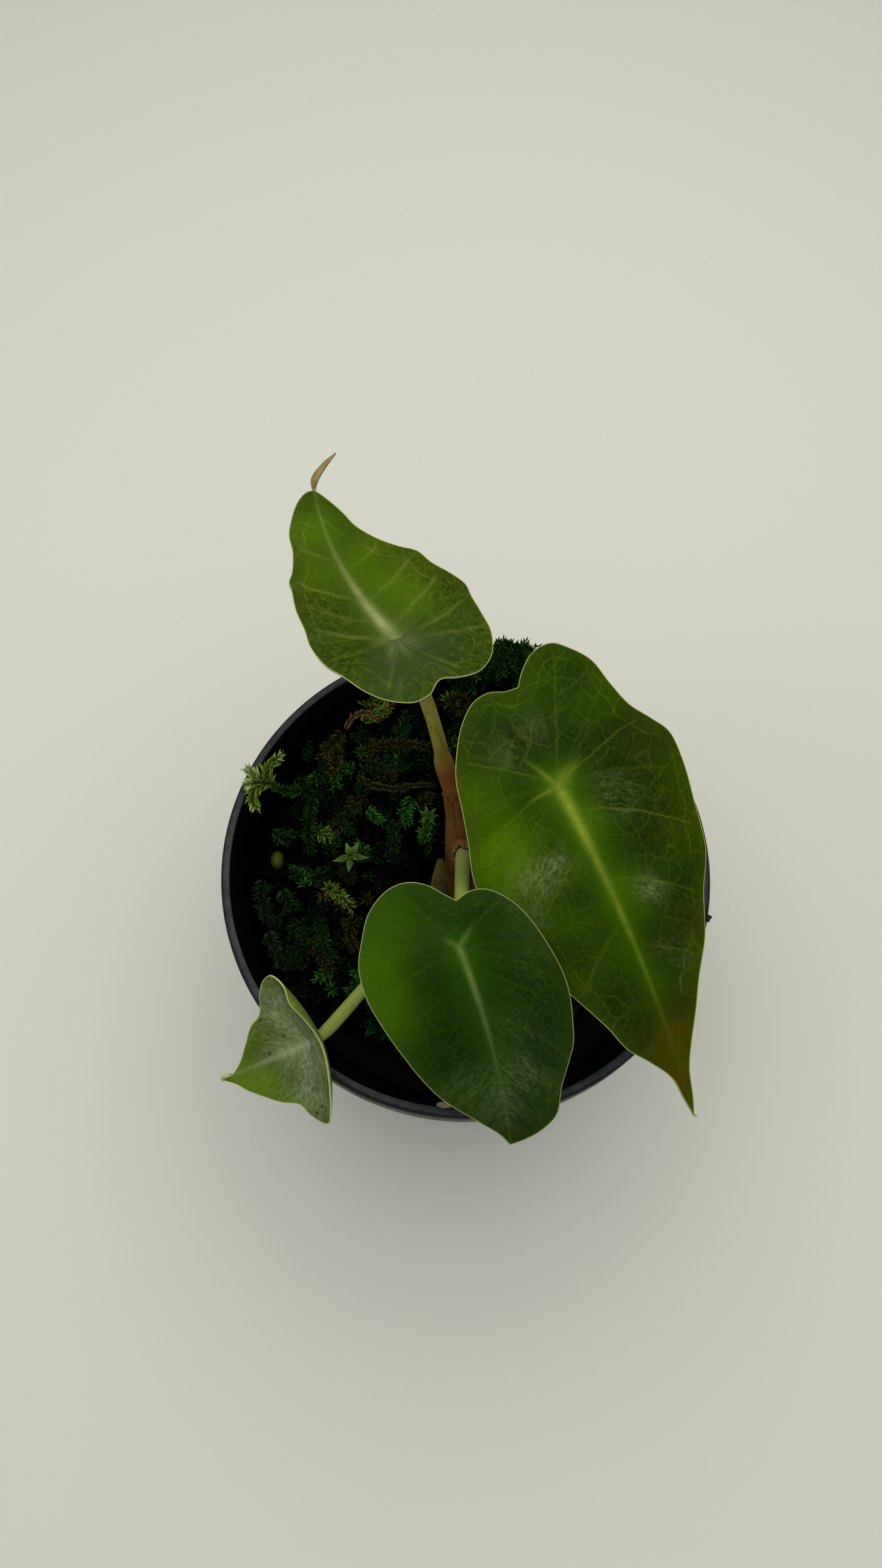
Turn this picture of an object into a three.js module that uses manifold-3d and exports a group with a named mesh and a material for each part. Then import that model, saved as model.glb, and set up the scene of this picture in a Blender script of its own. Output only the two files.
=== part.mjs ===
// A potted scorpio alocasia: four young blades on thin petioles, rising from a corm in a black nursery
// pot whose potting mix is covered with live moss. Millimetres, +Z up, the origin at the centre of the
// pot's underside, -Y towards the front of the plant.
import * as THREE from "three";
import { mergeVertices } from "three/addons/utils/BufferGeometryUtils.js";
import Module from "manifold-3d";

const wasm = await Module();
wasm.setup();

// Driving dimensions.
const CLEARANCE = 0.3;
const POT = {
  height: 65,
  baseRadius: 26,
  rimRadius: 37.5,
  rimRing: 1,
  lipHeight: 7,
  lipOverhang: 2,
  wall: 1,
  floor: 1.2,
  segments: 48,
  holeCount: 8,
  holeRadius: 2.5,
  holeCircle: 18,
};
const SOIL = { level: 50, sectors: 48, rings: 4, mound: 2.5 };
const CROWN = { x: -0.4, y: -0.3, top: 50.6, radius: 4.8, depth: 10.5, collar: 6 };
const MOSS = {
  seed: 11,
  thickness: 3.1,
  slope: [-0.05, 0.055],
  bump: 0.5,
  mound: 9,
  least: 0.7,
  reach: 31.8,
  edgeWidth: 0.1,
  lean: 0.14,
  rings: 11,
  shootRadius: 1.15,
  leafletGap: 2,
  leafletReach: 2.3,
  leafletRadius: 0.5,
  heads: 7,
  headRadius: 1.6,
  headSpacing: 5,
  strandLift: 1.2,
};
const BLADE_THICKNESS = 0.8;
const RING_SHARES = [0, 0.08, 0.22, 0.42, 0.64, 0.84, 1];

// The plant's back right, where moss has grown up over the rim.
const MOUND = { x: 7.5, y: 33.5, spread: 5.5, overRim: [8.3, 34.9, 66.4], cushion: [5, 2.1, 1] };

// Each blade lies in a plane of its own: y runs along the midrib from the petiole to the tip, x to its
// right, z up out of the upper face. Each margin point is x, y and how far the wavy edge lifts there.
const LEAVES = {
  leaf_back: {
    colour: 0x5d7a2c,
    hub: [-9.8, 21.4, 100],
    heading: 116,
    pitch: 5,
    roll: 2,
    length: 29,
    backLength: 9.5,
    halfWidth: 11.5,
    tipDroop: 2,
    backDroop: 1,
    leftDroop: 1.3,
    rightDroop: 0.7,
    midribBend: -2,
    notch: [0.7, -9.1, 0],
    tip: [0.4, 29, 0],
    left: [
      [-1.7, -9.1, -0.5], [-4.5, -7.6, -0.8], [-6.9, -5.4, -0.2], [-8.8, -2.2, 0.4],
      [-10.1, 0.4, 0.2], [-10.7, 4.4, -0.4], [-10.4, 7, -0.2], [-10.3, 10.1, 0.3],
      [-9.6, 13.2, 0.5], [-9.3, 14.9, 0.2], [-8.3, 16.4, -0.3], [-6.8, 19.8, -0.3],
      [-6.3, 22.1, 0.3], [-4.7, 25.1, 0.2], [-2.4, 28.2, -0.2], [-0.8, 29.1, 0],
    ],
    right: [
      [2.5, -8, 0.2], [5.2, -8.6, -0.2], [8.3, -8.6, -0.5], [10.7, -7.1, -0.3],
      [11.9, -4.4, 0.2], [12, -1.4, 0.3], [12.2, 2.1, -0.3], [12.4, 4.3, -0.4],
      [11.2, 6.6, 0], [9.5, 9, 0.4], [8.6, 11.7, 0.3], [6.8, 13.9, -0.3],
      [4.6, 16.5, -0.3], [2.8, 19.5, 0.1], [2.1, 22.7, 0.3], [1, 27.4, 0],
    ],
    backRibs: 6,
    frontRibs: 12,
    tail: {
      radius: 0.75,
      points: [
        [0.2, 27.6, -2.3, 0.5], [0.45, 29.3, -2.4, 0.55], [1, 30.2, -1.5, 1],
        [3, 31.2, -0.5, 0.8], [5.2, 31.8, 0.4, 0.25],
      ],
    },
  },
  leaf_right: {
    colour: 0x3f6414,
    hub: [11.2, 1.5, 98],
    heading: -66,
    pitch: 13,
    roll: -3,
    length: 46.5,
    backLength: 18,
    halfWidth: 16,
    tipDroop: 5,
    backDroop: 1.5,
    leftDroop: 3,
    rightDroop: 5,
    midribBend: -1,
    notch: [-0.6, -13.9, 0],
    tip: [-0.2, 46.4, 0],
    left: [
      [-2.1, -15.8, 0.2], [-4.6, -17.6, 0], [-7.7, -17.9, -0.3], [-9.6, -16.5, -0.2],
      [-11.7, -13.8, 0.2], [-12.7, -9.9, 0.3], [-14.1, -6.4, 0], [-16.4, -3.7, -0.2],
      [-18.4, -1, -0.3], [-18.3, 3.2, 0], [-17, 9.2, 0.3], [-15.7, 15.2, 0.3],
      [-13.1, 20.1, -0.3], [-10.6, 25.6, -0.2], [-7.4, 29.9, 0.4], [-5.5, 33.4, 0.2],
      [-3.2, 37.6, -0.2], [-1.9, 40.2, 0], [-1, 43.8, 0],
    ],
    right: [
      [1.2, -14, 0.1], [3.4, -14.7, -0.1], [5.6, -14.3, -0.3], [8, -12.3, -0.2],
      [10.3, -8.9, 0.2], [11.7, -5.8, 0.3], [12.5, -1.6, 0], [13.3, 2.4, -0.3],
      [14.4, 6.8, 0], [14.4, 11, 0.2], [12.9, 15, 0.3], [11, 20.5, 0],
      [8.8, 25.4, -0.3], [6.3, 31, 0.3], [5, 34.5, 0.2], [2.9, 37.2, -0.2],
      [0.8, 40.5, 0], [0.3, 43.7, 0],
    ],
    backRibs: 7,
    frontRibs: 15,
  },
  leaf_front: {
    colour: 0x4a7417,
    hub: [-1.7, -19.7, 98.8],
    heading: -74,
    pitch: 18,
    roll: 1,
    length: 27,
    backLength: 8,
    halfWidth: 13,
    tipDroop: 4,
    backDroop: 1.2,
    leftDroop: 2.4,
    rightDroop: 1.6,
    midribBend: -0.8,
    notch: [-1.2, -5.5, -0.2],
    tip: [0.1, 26.1, 0],
    left: [
      [-3.1, -6.2, 0], [-5.3, -5.8, 0], [-8.1, -3.3, -0.2], [-10.1, 0.6, -0.3],
      [-11.7, 6.2, 0], [-11.9, 9.5, 0.2], [-11.3, 13.5, 0.3], [-10.8, 15.7, 0.2],
      [-9.8, 17.7, -0.2], [-8, 20.8, -0.3], [-6.6, 23.8, 0.1], [-4.6, 25, 0.4],
      [-2.1, 25.8, 0.2],
    ],
    right: [
      [0.1, -6.7, 0], [1.7, -8.2, 0], [4, -9.2, -0.1], [6.7, -8.9, -0.1],
      [9.6, -6.8, 0], [11.3, -3.8, 0.1], [12.5, -0.8, 0.2], [12.6, 3.2, 0.1],
      [11.5, 7.5, -0.1], [10.2, 11, 0.1], [8.7, 14.5, 0.2], [6.8, 17.9, -0.1],
      [3.4, 21.7, -0.2], [1, 24.4, 0.1],
    ],
    backRibs: 6,
    frontRibs: 12,
  },
  leaf_left: {
    colour: 0x7f8f4c,
    hub: [-22.3, -28, 72.4],
    heading: -155,
    pitch: 12,
    roll: -8,
    length: 14.5,
    backLength: 6,
    halfWidth: 12,
    tipDroop: 1.2,
    backDroop: 0,
    leftDroop: 2,
    rightDroop: 0.6,
    midribBend: 0,
    // The margin behind the petiole is rolled up and over the face, round this radius. The roll
    // starts at the line y = start + bow * x * x, with a bow of its own on each side.
    roll180: { radius: 0.9, start: -0.8, bowLeft: 0.035, bowRight: 0.02 },
    notch: [0, -2.8, 0],
    tip: [1, 14.3, 0],
    left: [
      [-3, -2.3, 0], [-6, -1.4, 0], [-9, 0.5, 0], [-11.2, 3, -0.3], [-9.2, 4.5, 0],
      [-7.1, 5.1, 0.3], [-5.6, 7.5, 0], [-3.7, 9.6, -0.2], [-2, 11.3, 0], [-0.7, 12.3, 0],
    ],
    right: [
      [3, -3, 0], [6, -2.8, 0], [9, -0.7, 0.2], [11, 1.2, 0.6], [10.6, 2.5, 0.6],
      [8.9, 3.8, 0.3], [8, 4.4, -0.5], [6.6, 5.1, 0], [5.8, 6.7, 0.2], [3.8, 8.7, 0],
      [1.9, 10.7, 0], [1, 12.4, 0], [1, 13.7, 0.2],
    ],
    backRibs: 8,
    frontRibs: 9,
  },
};
const VALLEY = { depth: 0.5, width: 2.8 };
const KEEL = { depth: 0.6, width: 0.9 };
const QUILT = 0.12;
const RIB_SLOPE = 0.7;
const RIB_BOW = 0.12;

// Petioles: the line of the middle, with the radius at each point. Each ends under its blade.
const PETIOLES = {
  petiole_back: {
    colour: 0x9a8a55,
    leaf: "leaf_back",
    line: [
      [-0.9, 2.1, 50.6, 1.2], [-1.1, 3.5, 58, 1.2], [-1.3, 5.5, 66, 1.15],
      [-2.1, 8.6, 74, 1.12], [-3.4, 10.9, 81, 1.08], [-4.5, 12.8, 88, 1],
      [-5.9, 15.1, 94, 0.97], [-7.7, 18.2, 97.6, 0.97], [-9.6, 21.1, 100.6, 1],
    ],
  },
  petiole_right: {
    colour: 0x9ba35c,
    leaf: "leaf_right",
    line: [
      [3.2, 0.5, 50.6, 1.25], [3.9, 0.6, 60, 1.25], [5.4, 0.8, 75, 1.15],
      [8, 1.1, 88, 1.1], [10, 1.4, 94.5, 1.1], [11.2, 1.5, 99, 1.15],
    ],
  },
  petiole_front: {
    colour: 0xa9ad6a,
    leaf: "leaf_front",
    line: [
      [-0.9, -0.7, 50.6, 1.1], [-0.8, 0.8, 58, 1.1], [-0.75, 1.9, 64, 1.08],
      [-0.7, 1.3, 69.5, 1.05], [-0.7, -1, 75, 1.05], [-0.9, -5.2, 82, 1.02],
      [-1.15, -11.4, 90.6, 1], [-1.4, -16.4, 94.6, 1], [-1.7, -20, 99.6, 1.05],
    ],
  },
  petiole_left: {
    colour: 0x9aa65a,
    leaf: "leaf_left",
    line: [
      [-2.4, -3.2, 50.6, 1.05], [-5.5, -6.6, 56.5, 1.02], [-10, -12.4, 62.6, 1],
      [-15.5, -20, 67.6, 0.97], [-20.2, -26, 70.2, 0.95], [-22.4, -28.3, 73.2, 1],
    ],
  },
};

// The papery sheath round the back petiole: each station is its middle, its half widths, and the
// middle and half angle of its gap, in degrees from +X.
const SHEATH = {
  wall: 0.6,
  arcSteps: 14,
  stations: [
    { at: [-0.9, 1.1, 51.3], half: [2.4, 3.4], gapAt: -90, gap: 62 },
    { at: [-0.95, 2.6, 58], half: [2.4, 3.3], gapAt: -90, gap: 62 },
    { at: [-1.05, 4, 63], half: [2.35, 3.1], gapAt: -90, gap: 64 },
    { at: [-1.2, 5.2, 66], half: [2.3, 2.8], gapAt: -90, gap: 62 },
    { at: [-1.5, 6.3, 68.6], half: [2.2, 2.4], gapAt: -75, gap: 30 },
    { at: [-1.8, 7.5, 71.4], half: [2.15, 2.2], gapAt: -50, gap: 14 },
    { at: [-2.15, 8.7, 74.2], half: [2.1, 2.1], gapAt: -40, gap: 12 },
  ],
};
const CATAPHYLL = {
  line: [[-4.5, -1.2, 51.4, 1.3], [-4.7, 0.4, 53.4, 1.1], [-4.4, 2.2, 55.7, 0.7], [-4.2, 3.4, 57.2, 0.4]],
  flatten: 0.34,
};

// The moss shoots that stand out of the carpet, as lines on the plan.
const SHOOTS = [
  [[-28, 16.8], [-26.5, 15.2], [-25, 13.5], [-25.5, 10.5], [-25.5, 7.5], [-25, 4.5]],
  [[-22, 15], [-23.5, 13]],
  [[-25.5, 28], [-26.5, 25.5], [-26.5, 23], [-26, 20.5]],
  [[-24.5, 18.5], [-25, 16]],
  [[-18, 31], [-15.5, 30.5]],
  [[-11.5, 24.5], [-10, 26.5], [-9.5, 28.5]],
  [[-17, 21.5], [-14, 23], [-10.5, 23.5], [-6, 23]],
  [[-17.5, 20], [-14.5, 19.5], [-11, 18.8]],
  [[-17, 12.5], [-19, 11.5], [-20, 9.5], [-18.5, 8]],
  [[-16, 12], [-14.5, 10.5], [-13.5, 10]],
  [[-12, 10], [-11.5, 7.5], [-11.5, 5]],
  [[-8.6, 14.2], [-9.6, 12], [-9.4, 9.5]],
  [[-13, 3.5], [-10.5, 4.5]],
  [[-31.5, 8], [-29.5, 7], [-28, 8]],
  [[-24, 8], [-22, 7], [-21, 6.5]],
  [[-32.6, 0], [-32.8, -2.5], [-32.4, -4.5], [-31.8, -6.5], [-29.5, -6.2]],
  [[-29.5, -1.5], [-28.5, -3.5], [-27, -4.8]],
  [[-25.5, -1], [-26.5, 0.8], [-28, 1.5]],
  [[-24, -6], [-23, -8.5], [-22, -11.5], [-20.5, -13]],
  [[-17.5, -5.5], [-18.5, -8.5], [-17.5, -11]],
  [[-31.5, -8.5], [-30.5, -11], [-29, -13.5], [-26, -13.5]],
  [[-27, -9.5], [-25.5, -9]],
  [[-15.5, -20.5], [-13.5, -19]],
  [[-2.5, 33], [0.5, 33.3], [3, 33]],
  [[-3.5, 24], [-1, 22]],
  [[9.5, 29], [9, 32]],
];

// Loose sprigs that stand in holes in the moss: the stalk, with the radius at each point, and the
// head, whose leaves either spread all round or point at the turns given, in degrees from +Y.
const SPRIGS = {
  moss_sprig_rim: {
    colour: 0x8fae3a,
    line: [
      [-29.4, 12.6, 52.6, 0.7], [-29.6, 12.8, 58, 0.8], [-31.2, 13.2, 63, 0.9],
      [-33.2, 13, 66.7, 0.9], [-34.6, 12.4, 67.4, 0.6],
    ],
    leaflets: 10,
    arms: [
      [[-32.4, 13.8, 66.2, 0.6], [-31, 16.2, 65.6, 0.55], [-29.2, 18.3, 64.6, 0.4]],
      [[-33.4, 12.6, 66.8, 0.6], [-33.6, 10.8, 65.6, 0.5], [-33.2, 9, 63.9, 0.4]],
    ],
    head: { at: [-33.8, 12.8, 67.4], core: 1.6, leaves: 13, reach: 2.8, radius: 0.45, rise: 1.3 },
  },
  moss_star_left: {
    colour: 0x7f9f45,
    line: [[-18.5, 3.6, 51.2, 0.5], [-18.5, 3.6, 55.8, 0.5]],
    head: {
      at: [-18.5, 3.6, 56.2], core: 0.9, turns: [98, 22, -28, -92, 172],
      reach: 3, radius: 0.8, rise: 0.2,
    },
  },
  moss_tuft_middle: {
    colour: 0x6f8f3c,
    line: [[-5.9, 10.4, 51.4, 0.5], [-5.9, 10.4, 56, 0.5]],
    head: { at: [-5.9, 10.4, 56.4], core: 1, leaves: 7, reach: 2.6, radius: 0.55, rise: 0.8 },
  },
  moss_head_olive: {
    colour: 0x77752a,
    line: [[-21.3, -2, 51, 0.5], [-21.3, -2, 55.2, 0.5]],
    head: { at: [-21.3, -2, 55.8], core: 1.5, leaves: 10, reach: 3, radius: 0.6, rise: 0.7 },
  },
  moss_clump_back: {
    colour: 0x5f6a2a,
    line: [[-0.8, 28.2, 53, 0.5], [-0.8, 28.2, 60, 0.5]],
    head: { at: [-0.8, 28.2, 60.8], core: 1.6, leaves: 10, reach: 2.8, radius: 0.6, rise: 0.9 },
  },
  moss_capsule: {
    colour: 0x6c6c22,
    line: [[-30.4, 2.8, 51, 0.5], [-30.4, 2.8, 56.9, 0.5]],
    head: { at: [-30.4, 2.8, 57], core: 1.3, leaves: 4, reach: 1.8, radius: 0.45, rise: 1.2 },
  },
};

// Strands that lie across the moss, as lines on the plan.
const STRANDS = {
  moss_strand_tan: {
    colour: 0x9c8a4a,
    line: [[-19.8, 25.2], [-18.2, 27.3], [-16.2, 27.8], [-14.6, 26.6], [-12.6, 27.6]],
  },
  moss_strand_gold: {
    colour: 0x80722c,
    line: [[-20.8, 23], [-22, 21.5], [-23.2, 19.8]],
  },
  moss_strand_olive: {
    colour: 0x5f5a30,
    line: [[-17.5, 17], [-15, 15.6], [-11.5, 15], [-8, 15.6], [-5.2, 15.8]],
  },
};

// Crumbs that lie on the rim of the pot: the middle, the size and the turn of each.
const CRUMBS = {
  crumb_right: { colour: 0x120f0d, at: [36.5, -8.6, 66.1], size: [1.6, 1.3, 1.5], turn: 20 },
  crumb_front: { colour: 0xa8a274, at: [-3.2, -36, 65.9], size: [2.9, 1.1, 1.1], turn: -38 },
};

// Turns a closed geometry into a solid that can be joined or cut.
function solidFrom(geometry) {
  let bare = geometry.clone();
  for (const name of Object.keys(bare.attributes)) {
    if (name !== "position") bare.deleteAttribute(name);
  }
  bare = mergeVertices(bare, 1e-4);
  const corners = Array.from(bare.index.array);
  const kept = [];
  for (let i = 0; i < corners.length; i += 3) {
    const [a, b, c] = corners.slice(i, i + 3);
    if (a !== b && b !== c && c !== a) kept.push(a, b, c);
  }
  return new wasm.Manifold(new wasm.Mesh({
    numProp: 3,
    vertProperties: new Float32Array(bare.attributes.position.array),
    triVerts: new Uint32Array(kept),
  }));
}

function geometryFrom(solid) {
  const mesh = solid.getMesh();
  const geometry = new THREE.BufferGeometry();
  geometry.setAttribute("position", new THREE.BufferAttribute(new Float32Array(mesh.vertProperties), 3));
  geometry.setIndex(Array.from(mesh.triVerts));
  return geometry;
}

function joined(solids) {
  return solids.reduce((all, next) => all.add(next));
}

function largestPiece(solid) {
  return solid.decompose().reduce((most, next) => (next.volume() > most.volume() ? next : most));
}

// A small seeded generator, so that every build draws the same numbers.
function seeded(seed) {
  let state = seed;
  return () => {
    state = (state * 1664525 + 1013904223) % 4294967296;
    return state / 4294967296;
  };
}

function mixed(a, b, share) {
  return a + (b - a) * share;
}

function bell(x, y, centre, spread) {
  return Math.exp(-((x - centre.x) ** 2 + (y - centre.y) ** 2) / (2 * spread * spread));
}

// Closes a grid of rings, each with the same number of points, into a solid with flat caps. A cap is
// cut into triangles along its own outline, so a hollow section works as well as a round one.
function ringSolid(rings) {
  const count = rings[0].length;
  const positions = rings.flat().flatMap((p) => [p.x, p.y, p.z]);
  const index = [];
  for (let i = 0; i + 1 < rings.length; i++) {
    for (let j = 0; j < count; j++) {
      const a = i * count + j;
      const b = i * count + ((j + 1) % count);
      index.push(a, b, b + count, a, b + count, a + count);
    }
  }
  const lastBase = (rings.length - 1) * count;
  for (const [ring, base, turned] of [[rings[0], 0, true], [rings.at(-1), lastBase, false]]) {
    const axis = capNormal(ring);
    const side = new THREE.Vector3().subVectors(ring[1], ring[0]).normalize();
    const up = new THREE.Vector3().crossVectors(axis, side);
    const flat = ring.map((p) => new THREE.Vector2(p.dot(side), p.dot(up)));
    for (const [a, b, c] of THREE.ShapeUtils.triangulateShape(flat, [])) {
      index.push(base + a, base + (turned ? c : b), base + (turned ? b : c));
    }
  }
  const geometry = new THREE.BufferGeometry();
  geometry.setAttribute("position", new THREE.Float32BufferAttribute(positions, 3));
  geometry.setIndex(index);
  return geometry;
}

function capNormal(ring) {
  const sum = new THREE.Vector3();
  ring.forEach((p, i) => sum.add(new THREE.Vector3().crossVectors(p, ring[(i + 1) % ring.length])));
  return sum.normalize();
}

function curveThrough(line) {
  return new THREE.CatmullRomCurve3(line.map(([x, y, z]) => new THREE.Vector3(x, y, z)));
}

// A tapered stem along a line of points that each carry a radius. A flatten under 1 makes it a strap.
function stem(line, steps, sides = 8, flatten = 1) {
  const curve = curveThrough(line);
  const frames = curve.computeFrenetFrames(steps);
  const rings = [];
  for (let i = 0; i <= steps; i++) {
    const share = i / steps;
    const spot = curve.getUtoTmapping(share) * (line.length - 1);
    const before = Math.min(Math.floor(spot), line.length - 2);
    const radius = mixed(line[before][3], line[before + 1][3], spot - before);
    const middle = curve.getPointAt(share);
    rings.push(Array.from({ length: sides }, (_, j) => {
      const angle = (2 * Math.PI * j) / sides;
      return middle.clone()
        .addScaledVector(frames.normals[i], radius * Math.cos(angle))
        .addScaledVector(frames.binormals[i], radius * flatten * Math.sin(angle));
    }));
  }
  return ringSolid(rings);
}

// The pot.

function potInside(z) {
  const top = POT.rimRadius - POT.rimRing;
  return mixed(POT.baseRadius - POT.wall, top, (z - POT.floor) / (POT.height - POT.floor));
}

function pot() {
  const lipBottom = POT.height - POT.lipHeight;
  const under = POT.rimRadius + 0.5;
  const profile = [
    [0, 0],
    [POT.baseRadius - 0.8, 0],
    [POT.baseRadius, 0.8],
    [under - POT.lipOverhang, lipBottom - 0.4],
    [under - 0.3, lipBottom],
    [under, lipBottom + 0.4],
    [POT.rimRadius + 0.4, POT.height - 0.6],
    [POT.rimRadius, POT.height],
    [POT.rimRadius - POT.rimRing, POT.height],
    [potInside(lipBottom), lipBottom],
    [potInside(POT.floor + 1) - 0.2, POT.floor + 1],
    [POT.baseRadius - POT.wall - 1, POT.floor],
    [0, POT.floor],
  ].map(([r, z]) => new THREE.Vector2(r, z));
  const shell = new THREE.LatheGeometry(profile, POT.segments).rotateX(Math.PI / 2);
  let solid = solidFrom(shell);
  for (let i = 0; i < POT.holeCount; i++) {
    const angle = ((i + 0.5) * 2 * Math.PI) / POT.holeCount;
    const drill = new THREE.CylinderGeometry(POT.holeRadius, POT.holeRadius, POT.floor * 4, 12)
      .rotateX(Math.PI / 2)
      .translate(POT.holeCircle * Math.cos(angle), POT.holeCircle * Math.sin(angle), 0);
    solid = solid.subtract(solidFrom(drill));
  }
  return geometryFrom(solid);
}

// The corm with its roots. Grown by a gap, and with headroom, it is what is cut out of the potting mix.

function rootstock(gap = 0, headroom = gap) {
  const { x, y, top, radius, depth } = CROWN;
  const profile = [
    [0, top - depth - gap],
    [radius * 0.45, top - depth + 0.3 - gap],
    [radius * 0.85 + gap, top - depth * 0.7],
    [radius + gap, top - depth * 0.3],
    [radius * 0.96 + gap, top + headroom],
    [0, top + headroom],
  ].map(([r, z]) => new THREE.Vector2(r, z));
  const corm = new THREE.LatheGeometry(profile, 14).rotateX(Math.PI / 2).translate(x, y, 0);
  const draw = seeded(MOSS.seed);
  const roots = Array.from({ length: 5 }, (_, i) => {
    const angle = 1.25 * i + 0.3 * draw();
    const reach = mixed(13, 19, draw());
    const low = mixed(9, 22, draw());
    const ends = [
      [0.4, top - 7, 0.9],
      [0.75 * reach, top - 13, 0.75],
      [reach, low + 14, 0.6],
      [reach * 0.9, low - gap, 0.5],
    ];
    return solidFrom(stem(ends.map(([r, z, thick]) => [
      x + r * Math.cos(angle),
      y + r * Math.sin(angle),
      z,
      thick + gap,
    ]), 5, 5));
  });
  return joined([solidFrom(corm), ...roots]);
}

// The surface of the potting mix, and a bed on it: both are grids of the same spokes and rings.

function soilHeight(x, y) {
  return SOIL.level + SOIL.mound * bell(x, y, MOUND, MOUND.spread) + 0.8 * (y / 30);
}

// A point of the spoke at an angle. The spokes start at the crown and end round the middle of the pot.
function spokePoint(angle, radius) {
  const offset = Math.max(0, 1 - radius / MOSS.reach);
  return [CROWN.x * offset + radius * Math.cos(angle), CROWN.y * offset + radius * Math.sin(angle)];
}

// The rings of a bed, from its inner to its outer edge, at a height given by a function. What stands
// high leans out, as the wall of the pot does.
function bedRings(inner, outer, rings, height, lean = 0) {
  return Array.from({ length: rings + 1 }, (_, i) => {
    return Array.from({ length: SOIL.sectors }, (_, j) => {
      const angle = (2 * Math.PI * j) / SOIL.sectors;
      const radius = mixed(inner, outer(angle), i / rings);
      const [x, y] = spokePoint(angle, radius);
      const z = height(x, y, i / rings);
      const shift = lean * Math.max(0, z - SOIL.level - MOSS.thickness) * (radius / MOSS.reach);
      return new THREE.Vector3(x + shift * Math.cos(angle), y + shift * Math.sin(angle), z);
    });
  });
}

// Closes a bed of rings that run over the top and back underneath, with or without a hole in it.
function bedSolid(rings) {
  const count = rings[0].length;
  const positions = rings.flat().flatMap((p) => [p.x, p.y, p.z]);
  const index = [];
  for (let i = 0; i < rings.length; i++) {
    const next = (i + 1) % rings.length;
    for (let j = 0; j < count; j++) {
      const k = (j + 1) % count;
      index.push(i * count + j, next * count + j, next * count + k);
      index.push(i * count + j, next * count + k, i * count + k);
    }
  }
  const geometry = new THREE.BufferGeometry();
  geometry.setAttribute("position", new THREE.Float32BufferAttribute(positions, 3));
  geometry.setIndex(index);
  return geometry;
}

function pottingMix() {
  const surface = bedRings(0.01, () => potInside(SOIL.level) - CLEARANCE - 0.2, SOIL.rings, soilHeight);
  const bottom = POT.floor + CLEARANCE;
  const edge = potInside(bottom) - 1.5;
  const spread = (radius) => surface[0].map((_, j) => {
    const angle = (2 * Math.PI * j) / SOIL.sectors;
    return new THREE.Vector3(radius * Math.cos(angle), radius * Math.sin(angle), bottom);
  });
  return solidFrom(bedSolid([...surface, spread(edge), spread(0.01)]));
}

// The live moss: a bed that is thin towards the front, with shoots and heads that stand out of it.

function mossReach(angle) {
  const towards = (degrees, spread) => {
    const away = angle - THREE.MathUtils.degToRad(degrees);
    const turn = Math.atan2(Math.sin(away), Math.cos(away));
    return Math.exp(-((turn / THREE.MathUtils.degToRad(spread)) ** 2));
  };
  return MOSS.reach + 1.5 * towards(78, 26) - 6 * towards(-70, 50);
}

function mossDepth(x, y) {
  const lumps = Math.sin(0.9 * x + 1.3) * Math.sin(0.8 * y) + 0.7 * Math.sin(0.55 * x - 0.7 * y);
  const slope = MOSS.slope[0] * x + MOSS.slope[1] * y;
  return MOSS.thickness + slope + MOSS.bump * lumps + MOSS.mound * bell(x, y, MOUND, MOUND.spread);
}

// The top of the moss, thinner towards either edge of the bed.
function mossTop(x, y, share = 0.5) {
  const edge = Math.min(1, 0.3 + share / MOSS.edgeWidth, 0.4 + (1 - share) / MOSS.edgeWidth);
  const full = Math.max(edge, bell(x, y, MOUND, MOUND.spread));
  return soilHeight(x, y) + CLEARANCE + Math.max(MOSS.least, mossDepth(x, y) * full);
}

// A spike that points away from a place, at a turn about the upright and a rise above the level.
function spike(at, reach, radius, turn, rise) {
  return solidFrom(new THREE.ConeGeometry(radius, reach, 4)
    .translate(0, reach / 2, 0)
    .rotateX(rise)
    .rotateZ(turn)
    .translate(...at));
}

// A head of leaves round a core. Each leaf rises by up to the given angle.
function leafyHead({ at, core, leaves = 0, turns, reach, radius, rise }, draw) {
  const round = new THREE.IcosahedronGeometry(core, 0).scale(1, 1, 0.8).translate(...at);
  const ways = turns
    ? turns.map(THREE.MathUtils.degToRad)
    : Array.from({ length: leaves }, (_, i) => (2 * Math.PI * (i + 0.3 * draw())) / leaves);
  const spikes = ways.map((turn) => {
    return spike(at, reach * mixed(0.85, 1.1, draw()), radius, turn, rise * draw());
  });
  return joined([solidFrom(round), ...spikes]);
}

// A stem with short leaves along it, left out where they would reach the wall of the pot.
function leafyStem(line, leaflets, draw) {
  const curve = curveThrough(line);
  const parts = [solidFrom(stem(line, 2 * line.length - 2, 6))];
  for (let i = 0; i < leaflets; i++) {
    const at = curve.getPointAt((i + 0.5) / leaflets);
    const reach = MOSS.leafletReach * mixed(0.8, 1.1, draw());
    const turn = 2 * Math.PI * draw();
    const rise = 0.9 * draw();
    const tip = Math.hypot(at.x - reach * Math.sin(turn), at.y + reach * Math.cos(turn));
    if (at.z < POT.height && tip > potInside(at.z) - 2 * CLEARANCE) continue;
    parts.push(spike(at.toArray(), reach, MOSS.leafletRadius, turn, rise));
  }
  return joined(parts);
}

// A line on the plan, laid on the moss at a lift above it.
function laidOn(line, lift, radius) {
  const last = line.length - 1;
  return line.map(([x, y], i) => [x, y, mossTop(x, y) + lift, i % last ? radius : 0.7 * radius]);
}

function leafletsOn(line) {
  return Math.round(curveThrough(line).getLength() / MOSS.leafletGap);
}

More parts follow.
